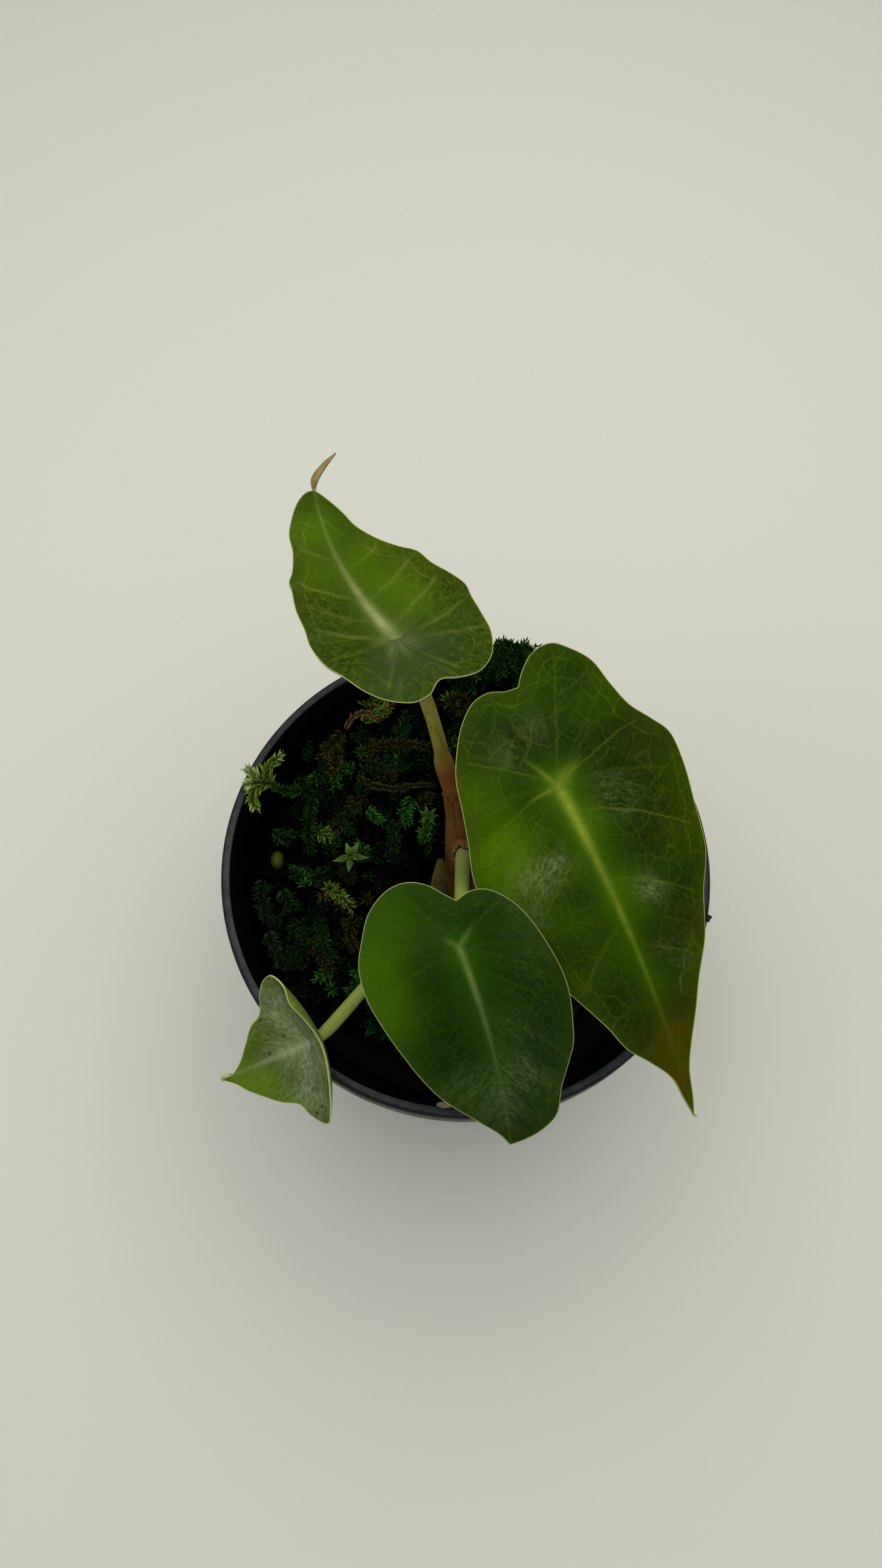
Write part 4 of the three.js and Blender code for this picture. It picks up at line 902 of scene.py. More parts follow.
def waxy_leaf(name, look):
    """The upper face of a living blade: waxy cuticle, so the gloss is broad and a little uneven."""
    material, tree = new_material("waxy_leaf_" + name)
    ribs = along_ribs(tree)
    edge = attribute(tree, "edge")
    patches = noise(tree, 6)
    drawn_out = dict(roughness=0.65, stretch=(1, 0.5, 1))
    grain = noise(tree, 0.28, ribs, detail=4, **drawn_out)
    clouds = noise(tree, 3.2, ribs, detail=5, **drawn_out)
    if look["drawn"]:
        net = fine_net(tree, ribs, look["cell"], 0.16, 0.42)
    else:
        net = fine_net(tree, swayed(tree, object_place(tree), 1.0, (1, 1, 1)), look["cell"], 0.13)
    wide_place = swayed(tree, object_place(tree), 3.0, (2.4, 2.4, 2.4))
    wide_net = fine_net(tree, wide_place, 4 * look["cell"], 0.035)
    seen = rescale(tree, clouds, 0.35, 0.62, 0.25, 1.0)
    apart = rescale(tree, attribute(tree, "rib_along"), 1.0, 6.0)
    veins = side_veins(tree, look["soft"])
    worn = rescale(tree, noise(tree, 1.8, ribs, detail=4), 0.35, 0.6, 0.6, 0.95)
    # These flecks break the painted silvery sheen into small pale dashes.
    flecks = times(tree, rescale(tree, grain, 0.4, 0.62, 0.2, 1.0), rescale(tree, clouds, 0.38, 0.6))
    masked = {
        "shade": rescale(tree, clouds, 0.3, 0.55, 0.4, 0.85),
        "glow": 0.6,
        "midrib": worn,
        "painted_sheen": rescale(tree, flecks, 0, 1, look["sheen_veil"], 1),
        "brown": rescale(tree, clouds, 0.3, 0.6, 0.25, 0.95),
    }
    masked = {zone: times(tree, attribute(tree, zone), share) for zone, share in masked.items()}
    colour = layered(
        tree, look["deep"],
        (rescale(tree, patches, 0.35, 0.65), look["fresh"]),
        (attribute(tree, "bright"), look["bright"]),
        # Painted shade: the listed hollows are darkened to about half of the deep green.
        (masked["shade"], linear(look["deep"], 0.55)),
        (masked["glow"], look["glow"]),
        (rescale(tree, edge, 0.5, 2.4, 0.12, 0.0), look["edge"]),
        (times(tree, rescale(tree, grain, 0.5, 0.72), 0.55 * look["net_share"]), look["net"]),
        (rescale(tree, grain, 0.3, 0.45, 0.4, 0.0), look["deep"]),
        (times(tree, net, seen, apart, look["net_share"]), look["net"]),
        (times(tree, wide_net, apart, look["wide_share"]), look["vein"]),
        (times(tree, veins, look["vein_share"]), look["vein"]),
        (times(tree, edge_loop(tree), look["vein_share"]), look["vein"]),
        (masked["midrib"], look["midrib"]),
        # Painted sheen: pale grey-green flecks on the spots where the gloss catches the light.
        (masked["painted_sheen"], look["painted_sheen"]),
        (masked["brown"], look["brown"]),
        (attribute(tree, "specks"), SPECK_COLOUR),
        (rescale(tree, edge, 0.02, 0.17, 0.9, 0.0), look["rim"]),
    )
    rough = rescale(tree, patches, 0.3, 0.7, *look["rough"])
    relief = None
    for height, depth in ((grain, 0.05), (net, -0.03), (veins, -0.05)):
        relief = bump(tree, height, depth, relief)
    return finished(material, colour, rough, relief, Specular_IOR_Level=look["shine"],
                    Subsurface_Weight=0.1, Subsurface_Radius=(0.4, 0.8, 0.15))


def matte_underside(name):
    """The lower face: paler and yellower, with the veins standing out of it."""
    material, tree = new_material("leaf_underside_" + name)
    streaks = noise(tree, 0.9, along_ribs(tree), detail=4, stretch=(1, 0.3, 1))
    pale = (times(tree, rescale(tree, streaks, 0.5, 0.75), 0.4), side_veins(tree),
            attribute(tree, "midrib"))
    fresh = rescale(tree, noise(tree, 5), 0.35, 0.65)
    colour = layered(tree, UNDERSIDE["deep"], (fresh, UNDERSIDE["fresh"]),
                     *((share, UNDERSIDE["vein"]) for share in pale))
    return finished(material, colour, UNDERSIDE["rough"], bump(tree, streaks, 0.06),
                    Subsurface_Weight=0.12, Subsurface_Radius=(0.4, 0.8, 0.15))


def translucent_margin(name, look):
    """The cut edge of the blade: a pale line, because light passes where the leaf thins out."""
    light = dict(Subsurface_Weight=0.3, Subsurface_Radius=(0.6, 1.0, 0.3))
    return mottled("leaf_margin_" + name, look["edge"], "#98a468", 1.5, 0.5, surface=light)


def dried_tip():
    """A dead drip tip: dry plant fibre, tan with darker strands."""
    return mottled("dried_drip_tip", "#6e6638", "#b09a66", 0.5, 0.6, 0.08, detail=4,
                   stretch=(1.5, 0.3, 1))


print("leaf colours:", {name: look["fresh"] for name, look in LOOKS.items()})

# %% [markdown]
# On the real plant every blade grew at its own time, so no two are alike. One blade could be turned
# and scaled into four, but here each has measures, a finish and a fineness of its own, and the
# function that models them is what they share.

# %% Blades in their place
BLADE_PIECES = {
    "leaf_back": ("leaf_back_green", 190, 46), "leaf_right": ("leaf_right_green", 260, 60),
    "leaf_front": ("leaf_front_green", 190, 46), "leaf_left": ("leaf_left_pale", 180, 44),
}


def add_blades():
    for node, (slot, rows, columns) in BLADE_PIECES.items():
        name = node.removeprefix("leaf_")
        piece = model_blade("blade_" + name, BLADES[node], rows, columns)
        finishes = [waxy_leaf(name, LOOKS[node]), matte_underside(name),
                    translucent_margin(name, LOOKS[node])]
        if "tail" in BLADES[node]:
            finishes.append(dried_tip())
        settle(piece, slot, node, materials=finishes, angle=70)


add_blades()

# %% [markdown]
# The petioles are juicy round stalks. Their course could be drawn with a curve object, but the same
# rings as everywhere in this plant let the stalk thin out upwards and carry faint ridges. Each one
# ends inside its blade, where both are one tissue.

# %% Petioles
PETIOLES = {
    "petiole_back": [
        (-0.9, 2.1, 50.6, 1.2), (-1.1, 3.5, 58, 1.2), (-1.3, 5.5, 66, 1.15), (-2.15, 8.6, 74, 1.3),
        (-2.9, 9.95, 78, 1.4), (-3.5, 11, 81.2, 1.42), (-3.78, 11.55, 83.2, 1.12),
        (-4.5, 12.8, 88, 1), (-5.9, 15.1, 94, 0.97), (-7.7, 18.2, 97.4, 0.95),
        (-9.3, 20.6, 98.8, 0.6),
    ],
    "petiole_right": [
        (3.2, 0.5, 50.6, 1.25), (3.9, 0.6, 60, 1.25), (5.4, 0.8, 75, 1.15), (8, 1.1, 88, 1.1),
        (10, 1.4, 94.5, 1.1), (11.1, 1.5, 97.3, 1),
    ],
    "petiole_front": [
        (-0.9, -0.7, 50.6, 1.1), (-0.8, 0.8, 58, 1.1), (-0.75, 1.9, 64, 1.08),
        (-0.7, 1.3, 69.5, 1.05), (-0.7, -1, 75, 1.05), (-0.9, -5.2, 82, 1.02),
        (-1.15, -11.4, 90.6, 1), (-1.4, -16.4, 94.6, 1), (-1.65, -19.2, 97.6, 0.75),
    ],
    "petiole_left": [
        (-2.4, -3.2, 50.6, 1.05), (-5.5, -6.6, 56.5, 1.02), (-10, -12.4, 62.6, 1),
        (-15.5, -20, 67.6, 0.97), (-20.2, -26, 70.2, 0.95), (-22, -27.8, 71.4, 0.7),
    ],
}
STALK_COLOURS = {
    "petiole_back": dict(low="#8c5410", middle="#966420", high="#a09a44", fleck="#6c4e14"),
    "petiole_right": dict(low="#a0a060", middle="#97a356", high="#8fa04c", fleck="#7c8a44"),
    "petiole_front": dict(low="#989a58", middle="#98a058", high="#8a9a48", fleck="#80864a"),
    "petiole_left": dict(low="#8e9a55", middle="#98a55a", high="#93a354", fleck="#7c8a48"),
}


def juicy_stalk(name, hues, low, high):
    """A living stalk: moist, faintly ridged skin with fine flecks along it."""
    material, tree = new_material("stalk_" + name)
    rise = rescale(tree, object_height(tree), low * MM, high * MM)
    flecks = noise(tree, 0.35, detail=5, roughness=0.65, stretch=(1, 1, 0.15))
    colour = layered(
        tree, hues["low"],
        (rescale(tree, rise, 0.5, 0.64), hues["middle"]),
        (rescale(tree, rise, 0.62, 0.76), hues["high"]),
        (rescale(tree, flecks, 0.52, 0.7, 0, 0.6), hues["fleck"]),
        (rescale(tree, noise(tree, 2.5), 0.4, 0.8, 0, 0.25), "#b0a878"),
    )
    return finished(material, colour, 0.45, bump(tree, flecks, 0.05), Specular_IOR_Level=0.2,
                    Subsurface_Weight=0.2, Subsurface_Radius=(0.8, 1.0, 0.3))


def ridged(line, angle):
    """Faint ridges along a stalk, which end before its tip."""
    along = np.linspace(0, 1, len(line))[:, None]
    return 1 + 0.012 * np.cos(9 * angle)[None, :] + 0.01 * np.sin(5 * angle + 6 * along)


def add_petioles():
    for name, line in PETIOLES.items():
        points = tube_points(smooth_line(line, 110), 28, swell=ridged)
        piece = merged(bent_grid("stalk_" + name[8:], points))
        material = juicy_stalk(name[8:], STALK_COLOURS[name], line[0][2], line[-1][2])
        slot = "petiole_tan" if name == "petiole_back" else "petiole_green"
        settle(piece, slot, name, materials=[material])


add_petioles()

# %% [markdown]
# The oldest petiole is wrapped in a papery sheath that has dried to orange-brown. It is open
# towards the front, where the youngest petioles came out of it, and a torn tongue of it still lies
# over one of them. A tube could be torn open, but a sheet bent round an arc at each height gives the
# overlap and a ragged mouth at once. Each row below is the middle of the arc, half its width and
# depth, and half of its gap in degrees, which is negative where the sheet overlaps itself.

# %% Sheath, dead scale and corm
SHEATH = [
    (-0.9, 1.1, 51.3, 2.4, 3.4, 12), (-0.95, 2.5, 58, 2.35, 3.5, 12), (-1.05, 3.7, 63, 2.2, 3.4, 14),
    (-1.2, 4.4, 66, 2.05, 3.1, 0), (-1.45, 5.6, 68.4, 1.75, 2.3, -4),
    (-1.7, 6.9, 70.6, 1.6, 1.75, -4), (-2.15, 8.6, 74.3, 1.52, 1.52, -4),
]
SHEATH_GAP_AT = -80
SHEATH_WALL = 0.35
TONGUE_COURSE = PETIOLES["petiole_front"][1:6]
CATAPHYLL = [
    (-4.1, -1.6, 51.4, 1.5), (-4.1, -0.2, 53.4, 1.45), (-3.9, 1.4, 55.6, 1.15), (-3.9, 3, 57.4, 0.5),
]


def sheath_tongue():
    """The torn tongue of the sheath, which still lies over the back of the front petiole."""
    course = smooth_line([(*p[:3], 0) for p in TONGUE_COURSE], 400)
    _, back, aside = cross_ways(course)
    share = np.linspace(0, 1, 61)[:, None]
    angle = np.radians(np.linspace(-120, 120, 49))[None, :]
    reach = 0.76 - 0.05 * np.sin(2.3 * angle + 0.6) ** 2 - 0.012 * np.sin(17 * angle)
    spot = np.rint(share * reach * 399).astype(int)
    radius = 1.45 + 0.15 * share**4 + 0.04 * np.sin(6 * angle)
    ring = back[spot] * np.cos(angle)[..., None] + aside[spot] * np.sin(angle)[..., None]
    points = course[spot, :3] + radius[..., None] * ring
    return bent_grid("tongue", points, dict(torn=share**24 + 0 * angle))


def model_sheath():
    rows, columns = 120, 90
    stations = np.array(SHEATH, float)
    run = np.linspace(0, 1, rows + 1)[:, None]
    known = (stations[:, 2] - stations[0, 2]) / (stations[-1, 2] - stations[0, 2])
    x, y, z, half_x, half_y, gap = (np.interp(run, known, column) for column in stations.T)
    share = np.linspace(0, 1, columns + 1)[None, :]
    gap = gap + (2.5 * np.sin(23 * run) + 1.5 * np.sin(57 * run + 1))
    angle = np.radians(SHEATH_GAP_AT + gap + (360 - 2 * gap) * share)
    fold = 0.05 * np.sin(7 * angle + 9 * run) + 0.03 * np.sin(13 * angle)
    ragged = 0.35 * np.sin(5 * angle) + 0.25 * np.sin(11 * angle + 1)
    points = np.dstack([
        x + (half_x - 0.12 + fold) * np.cos(angle), y + (half_y - 0.12 + fold) * np.sin(angle),
        z + ragged * run**6,
    ])
    sheet = bent_grid("sheath", points, dict(torn=np.abs(2 * share - 1) ** 30 + 0 * run))
    whole = joined([sheet, sheath_tongue()], "sheath")
    return modified(whole, "SOLIDIFY", thickness=SHEATH_WALL * MM, offset=-1)


def dry_papery_sheath():
    """A dead leaf base: thin as paper, orange-brown, striped by its fibres and pale where torn."""
    material, tree = new_material("dry_papery_sheath")
    fibres = noise(tree, 0.3, detail=5, roughness=0.6, stretch=(1, 1, 0.1))
    colour = layered(
        tree, "#5c3206",
        (rescale(tree, object_height(tree), 0.058, 0.07), "#86602a"),
        (rescale(tree, noise(tree, 3), 0.4, 0.7, 0, 0.5), "#a07c40"),
        (rescale(tree, fibres, 0.5, 0.72, 0, 0.5), "#643a08"),
        (times(tree, attribute(tree, "torn"), 0.7), "#8c7040"),
    )
    return finished(material, colour, 0.55, bump(tree, fibres, 0.08), Specular_IOR_Level=0.2,
                    Subsurface_Weight=0.1, Subsurface_Radius=(1.0, 0.5, 0.2))


def dead_scale_skin():
    """A dead scale leaf: limp, olive-brown plant skin with coarse fibres."""
    return mottled("dead_scale_skin", "#3a3408", "#7e7a30", 0.4, 0.7, 0.12, detail=5,
                   stretch=(1, 0.4, 0.4))


def corky_corm():
    """The corm: corky skin, light brown, with rings of old leaf scars."""
    return mottled("corky_corm", "#4a3420", "#8f6c48", 1.2, 0.85, 0.3, detail=6, roughness=0.7,
                   stretch=(1, 1, 2.5))


settle(model_sheath(), "sheath_papery", "sheath_back", materials=[dry_papery_sheath()])
scale_line = smooth_line(CATAPHYLL, 50)
scale_points = tube_points(scale_line, 24, flatten=0.34, swell=ridged, first=(1, 0.2, 0))
settle(merged(bent_grid("dead_scale", scale_points)), "cataphyll_dead", "cataphyll_left",
       materials=[dead_scale_skin()])
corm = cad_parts["rootstock"]
corm.data.materials.clear()
corm.data.materials.append(corky_corm())

# %% [markdown]
# The potting mix is dark, wet bark and peat, bare towards the front. Crumbs could be scattered by
# hand, but a disc of fine relief, drawn by a seeded generator, is the same ground every time.

# %% Potting mix
SOIL_LEVEL = 50
MOUND = dict(x=7.5, y=33.5, spread=5.5)


def bell(x, y):
    away = (x - MOUND["x"]) ** 2 + (y - MOUND["y"]) ** 2
    return np.exp(-away / (2 * MOUND["spread"] ** 2))


def soil_height(x, y):
    return SOIL_LEVEL + 2.5 * bell(x, y) + 0.8 * (y / 30)


def rough_ground(x, y, seed, size):
    """Gentle lumps that never repeat: a few waves in seeded directions."""
    draw = np.random.default_rng(seed)
    total = np.zeros_like(x)
    for turn, phase, stretch in draw.random((14, 3)):
        way = turn * 2 * np.pi
        total += np.sin((x * np.cos(way) + y * np.sin(way)) / (size * (0.4 + stretch)) + 7 * phase)
    return total / 14


def model_soil():
    rings, spokes = 90, 220
    angle = np.linspace(0, 2 * np.pi, spokes + 1)[None, :]
    share = np.linspace(0, 1, rings + 1)[:, None]
    reach = share * (pot_wall_inside(SOIL_LEVEL) - 0.25)
    x, y = reach * np.cos(angle), reach * np.sin(angle)
    crumbs = 0.5 * rough_ground(x, y, 3, 1.6) + 0.35 * rough_ground(x, y, 4, 0.5)
    top = np.dstack([x, y, soil_height(x, y) + 0.1 + crumbs - 0.7 * share**12])
    low = [(pot_wall_inside(z) - 0.3, z) for z in (45, 40, 30, 20, 10)] + [(24.4, 2.4), (0, 2.4)]
    side = [np.dstack([r * np.cos(angle), r * np.sin(angle), 0 * angle + z])[0] for r, z in low]
    return merged(bent_grid("potting_mix_body", np.concatenate([top, side])))


def wet_potting_mix():
    """Wet bark, peat and coir: nearly black, with brown fibres and a damp gloss on some crumbs."""
    material, tree = new_material("wet_potting_mix")
    crumbs = noise(tree, 0.9, detail=8, roughness=0.7)
    colour = layered(tree, "#030202", (rescale(tree, crumbs, 0.45, 0.75), "#120e09"))
    rough = rescale(tree, crumbs, 0.4, 0.7, 0.5, 0.95)
    return finished(material, colour, rough, bump(tree, crumbs, 0.5), Specular_IOR_Level=0.15)


settle(model_soil(), "potting_mix", "potting_mix", materials=[wet_potting_mix()], angle=180)

# %% [markdown]
# Moss is thousands of tiny leaves on short stems. Hair systems can make it, but real meshes are kept
# when the plant is handed on. One leaf is modelled once, a closed pointed blade, and copied along
# every stem and round every head with its own size, lean and shade of green.

# %% One moss leaf, and how it is copied
def moss_leaf_shape():
    """A pointed leaf along +Y, one unit long and wide, closed, hollow above: points and faces."""
    pick()
    bpy.ops.mesh.primitive_cone_add(vertices=3, radius1=0.5, radius2=0.0, depth=1)
    bpy.ops.object.mode_set(mode="EDIT")
    bpy.ops.mesh.select_all(action="SELECT")
    bpy.ops.mesh.bisect(plane_co=(0, 0, -0.1), plane_no=(0, 0, 1))
    bpy.ops.mesh.select_all(action="SELECT")
    bpy.ops.mesh.quads_convert_to_tris()
    bpy.ops.object.mode_set(mode="OBJECT")
    cone = bpy.context.object
    points = read_points(cone)
    faces = np.array([list(face.vertices) for face in cone.data.polygons])
    bpy.data.objects.remove(cone)
    share = points[:, 2] + 0.5
    swell = np.interp(share, [0, 0.4, 1], [0.6, 1.9, 1.0])
    bend = -0.3 * share**2
    return np.column_stack([points[:, 0] * swell, share, points[:, 1] * swell * 0.4 + bend]), faces


LEAF_SHAPE, LEAF_FACES = moss_leaf_shape()


def copies(name, placed):
    """One mesh of many leaves. Each is a root, a way, an upside, a length, a width and a colour."""
    root, way, up, length, width, shade = (np.array([p[k] for p in placed], float) for k in range(6))
    way = unit(way)
    side = unit(np.cross(way, up))
    face = np.cross(side, way)
    x = LEAF_SHAPE[None, :, 0, None] * width[:, None, None] * side[:, None]
    y = LEAF_SHAPE[None, :, 1, None] * length[:, None, None] * way[:, None]
    z = LEAF_SHAPE[None, :, 2, None] * length[:, None, None] * face[:, None]
    points = (root[:, None] + x + y + z).reshape(-1, 3)
    step = np.arange(len(placed))[:, None, None] * len(LEAF_SHAPE)
    faces = (LEAF_FACES[None] + step).reshape(-1, 3)
    mesh = bpy.data.meshes.new(name)
    mesh.from_pydata((points * MM).tolist(), [], faces.tolist())
    piece = bpy.data.objects.new(name, mesh)
    bpy.context.scene.collection.objects.link(piece)
    tint = mesh.color_attributes.new("tint", "FLOAT_COLOR", "POINT")
    colours = np.repeat(np.column_stack([shade, np.ones(len(shade))]), len(LEAF_SHAPE), axis=0)
    tipward = np.tile(LEAF_SHAPE[:, 1], len(placed))
    tint.data.foreach_set("color", colours.ravel())
    write_attribute(piece, "tipward", tipward)
    return piece


GREENS = {
    "dark": "#060b04",
    "deep": "#122a0c",
    "mid": "#224810",
    "fresh": "#447e26",
    "pale": "#86ae58",
    "grey": "#283f22",
    "lime": "#7a962c",
    "bright": "#b8d27a",
    "olive": "#424412",
    "gold": "#7c6a24",
    "tan": "#947646",
    "dead": "#2a2216",
}
GOLDEN_TURN = 2.4
draw = np.random.default_rng(11)


def tone(name, spread=0.25):
    """A named colour, a little lighter or darker each time."""
    return np.array(linear(GREENS[name])[:3]) * (1 + spread * (draw.random() * 2 - 1))


def some(least, more):
    """A seeded number from the least to that much more."""
    return least + more * draw.random()


def any_of(hues):
    return hues[int(draw.random() * len(hues))]


def leafy_shoot(line, hue, leaf=1.5, width=0.5, lean=0.9, per_mm=7, radius=0.25, tips=None):
    """Leaves wound round a line of points in mm, denser than they are long."""
    line = smooth_line([(*p, radius) for p in line], 40)
    length = np.linalg.norm(np.diff(line[:, :3], axis=0), axis=1).sum()
    heading, across, upward = cross_ways(line)
    placed = []
    count = max(6, int(length * per_mm))
    for i in range(count):
        share = some(i, 1) / count
        spot = share * (len(line) - 1)
        k = int(spot)
        turn = some(i * GOLDEN_TURN, 0.5)
        out = across[k] * math.cos(turn) + upward[k] * math.sin(turn)
        pull = lean * some(0.7, 0.6)
        way = heading[k] * math.cos(pull) + out * math.sin(pull)
        size = leaf * some(0.75, 0.5) * (1 - 0.45 * share**4)
        shade = tone(tips) if tips and share > 0.72 else tone(hue)
        placed.append((line[k, :3] + out * radius, way, out, size, size * width, shade))
    return placed


def leafy_head(at, hue, leaves=14, leaf=2.6, width=0.3, rise=0.7, core=0.4, up=(0, 0, 1)):
    """A rosette: leaves all round a point, the inner ones standing up."""
    up = unit(np.array(up, float))
    side = unit(np.cross(up, (0.3, 1, 0.1)))
    front = np.cross(up, side)
    placed = []
    for i in range(leaves):
        turn = some(i * GOLDEN_TURN, 0.4)
        lift = rise * (0.35 + 0.9 * i / leaves)
        out = side * math.cos(turn) + front * math.sin(turn)
        way = out * math.cos(lift) + up * math.sin(lift)
        back = up * math.cos(lift) - out * math.sin(lift)
        size = leaf * some(0.8, 0.3) * (1 - 0.35 * i / leaves)
        placed.append((np.array(at) + out * core * 0.5, way, back, size, size * width, tone(hue)))
    return placed


print("moss leaf faces:", len(LEAF_FACES))

# %% [markdown]
# The moss bed is a dark felt of dead stems over the mix, deepest at the back, with green shoots
# that creep over it. The felt is coloured nearly black as painted shade between the shoots, so the
# gaps look deep, and the shoots follow the courses that they take in this pot. Smaller ones fill the
# ground between.

# %% Moss bed
MOSS_DEPTH = dict(base=3.1, slope=(-0.05, 0.055), bump=0.5, mound=9, least=0.7)
MOSS_REACH = 31.8
CROWN_COLLAR = 6


def moss_depth(x, y):
    lumps = np.sin(0.9 * x + 1.3) * np.sin(0.8 * y) + 0.7 * np.sin(0.55 * x - 0.7 * y)
    slope = MOSS_DEPTH["slope"][0] * x + MOSS_DEPTH["slope"][1] * y
    return MOSS_DEPTH["base"] + slope + MOSS_DEPTH["bump"] * lumps + MOSS_DEPTH["mound"] * bell(x, y)


def moss_top(x, y):
    return soil_height(x, y) + 0.3 + np.maximum(MOSS_DEPTH["least"], moss_depth(x, y))


def moss_reach(angle):
    def towards(degrees, spread):
        turn = np.angle(np.exp(1j * (angle - math.radians(degrees))))
        return np.exp(-((turn / math.radians(spread)) ** 2))
    return MOSS_REACH + 1.5 * towards(78, 26) - 6 * towards(-70, 50)


def model_moss_bed():
    rings, spokes = 70, 240
    angle = np.linspace(0, 2 * np.pi, spokes + 1)[None, :]
    share = np.linspace(0, 1, rings + 1)[:, None]
    radius = CROWN_COLLAR + (moss_reach(angle) - CROWN_COLLAR) * share
    x, y = radius * np.cos(angle), radius * np.sin(angle)
    edge = np.minimum(1, np.minimum(0.2 + share / 0.1, 0.2 + (1 - share) / 0.12))
    full = np.maximum(edge, bell(x, y))
    felt = 0.55 * rough_ground(x, y, 5, 1.2) + 0.5 * rough_ground(x, y, 6, 0.45)
    depth = np.maximum(0.5, (moss_top(x, y) - soil_height(x, y) - 1.0) * full + 1.4 * felt * edge)
    z = soil_height(x, y) + depth
    lean = 0.14 * np.maximum(0, z - SOIL_LEVEL - 3.1) * radius / MOSS_REACH
    top = np.dstack([x + lean * np.cos(angle), y + lean * np.sin(angle), z])
    under = np.dstack([x, y, soil_height(x, y) - 0.6])[::-14]
    return merged(bent_grid("moss_bed", np.concatenate([top, under, top[:1]])))


def moss_felt_painted_shade():
    """Old moss stems matted together, coloured nearly black as painted shade between the shoots, with
    some green left in it.
    """
    material, tree = new_material("moss_felt_painted_shade")
    mat = noise(tree, 0.7, detail=8, roughness=0.75)
    clouds = rescale(tree, noise(tree, 5, detail=2), 0.45, 0.7, 0, 0.5)
    # Painted shade: nearly black, so the gaps between the shoots look deep.
    colour = layered(tree, "#020202", (rescale(tree, mat, 0.45, 0.75), "#070b05"), (clouds, "#030502"))
    return finished(material, colour, 1.0, bump(tree, mat, 0.5), Specular_IOR_Level=0.05)


def live_moss():
    """Moss leaves, one cell thick, that let a little light through; painted shade darkens them towards
    their roots, so their tips look lit.
    """
    material, tree = new_material("live_moss")
    # Painted shade: each leaf fades to near black towards its root, and only its tip shows its full
    # colour.
    root = rescale(tree, attribute(tree, "tipward"), 0.0, 0.75, 0.15, 1.0)
    colour = layered(tree, "#040802", (root, attribute(tree, "tint", "Color")))
    return finished(material, colour, 0.42, Specular_IOR_Level=0.15, Subsurface_Weight=0.1,
                    Subsurface_Radius=(0.3, 0.6, 0.1))


LIVE_MOSS = live_moss()
settle(model_moss_bed(), "moss_green", materials=[moss_felt_painted_shade()], angle=180)

# %% [markdown]
# The creeping shoots that the eye can follow take the courses they have in this pot, each a line of
# x and y. The rest could be drawn one by one too, but there are hundreds, so a seeded generator sets
# low shoots, small rosettes and fronds on the bed, and the cushion that has climbed over the rim.

# %% Moss shoots
SHOOTS = [
    ("mid", [(-28, 16.8), (-26.5, 15.2), (-25, 13.5), (-25.5, 10.5), (-25.5, 7.5), (-25, 4.5)]),
    ("deep", [(-22, 15), (-23.5, 13)]),
    ("mid", [(-25.5, 28), (-26.5, 25.5), (-26.5, 23), (-26, 20.5)]),
    ("fresh", [(-24.5, 18.5), (-25, 16)]),
    ("lime", [(-18, 31), (-15.5, 30.5), (-13, 30.3)]),
    ("mid", [(-11.5, 24.5), (-10, 26.5), (-9.5, 28.5)]),
    ("olive", [(-17, 21.5), (-14, 23), (-10.5, 23.5), (-6, 23)]),
    ("grey", [(-17.5, 20), (-14.5, 19.5), (-11, 18.8)]),
    ("mid", [(-17, 12.5), (-19, 11.5), (-20, 9.5), (-18.5, 8)]),
    ("fresh", [(-16, 12), (-14.5, 10.5), (-13.5, 10)]),
    ("mid", [(-12, 10), (-11.5, 7.5), (-11.5, 5)]),
    ("fresh", [(-8.6, 14.2), (-9.6, 12), (-9.4, 9.5)]),
    ("deep", [(-13, 3.5), (-10.5, 4.5)]),
    ("mid", [(-31.5, 8), (-29.5, 7), (-28, 8)]),
    ("lime", [(-24, 8), (-22, 7), (-21, 6.5)]),
    ("grey", [(-32.6, 0), (-32.8, -2.5), (-32.4, -4.5), (-31.8, -6.5), (-29.5, -6.2)]),
    ("mid", [(-29.5, -1.5), (-28.5, -3.5), (-27, -4.8)]),
    ("fresh", [(-25.5, -1), (-26.5, 0.8), (-28, 1.5)]),
    ("mid", [(-24, -6), (-23, -8.5), (-22, -11.5), (-20.5, -13)]),
    ("olive", [(-17.5, -5.5), (-18.5, -8.5), (-17.5, -11)]),
    ("grey", [(-31.5, -8.5), (-30.5, -11), (-29, -13.5), (-26, -13.5)]),
    ("mid", [(-27, -9.5), (-25.5, -9)]),
    ("deep", [(-15.5, -20.5), (-13.5, -19)]),
    ("grey", [(-2.5, 33), (0.5, 33.3), (3, 33)]),
    ("deep", [(-3.5, 24), (-1, 22)]),
    ("grey", [(9.5, 29), (9, 32)]),
]
STRAYS = dict(low=780, fronds=85, heads=115)
CUSHION = dict(shoots=320, middle=(8.3, 34.6), spread=(4.2, 1.6), highest=66.6)
STRAY_HUES = ("dark", "dark", "deep", "deep", "deep", "mid")
HIGH_HUES = ("deep", "mid", "mid", "fresh", "fresh", "olive", "grey")
CUSHION_HUES = ("grey", "mid", "deep", "fresh")
CLEAR_OF_WALL = 0.35


def on_moss(plan, lift):
    return [(x, y, moss_top(x, y) + lift) for x, y in plan]


def within_pot(placed):
    """Leaves whose tips stay clear of the wall and of the rim."""
    kept = []
    for leaf in placed:
        tip = np.array(leaf[0]) + unit(np.array(leaf[1])) * leaf[3]
        if tip[2] > POT_TOP or math.hypot(*tip[:2]) < pot_wall_inside(tip[2]) - CLEAR_OF_WALL:
            kept.append(leaf)
    return kept


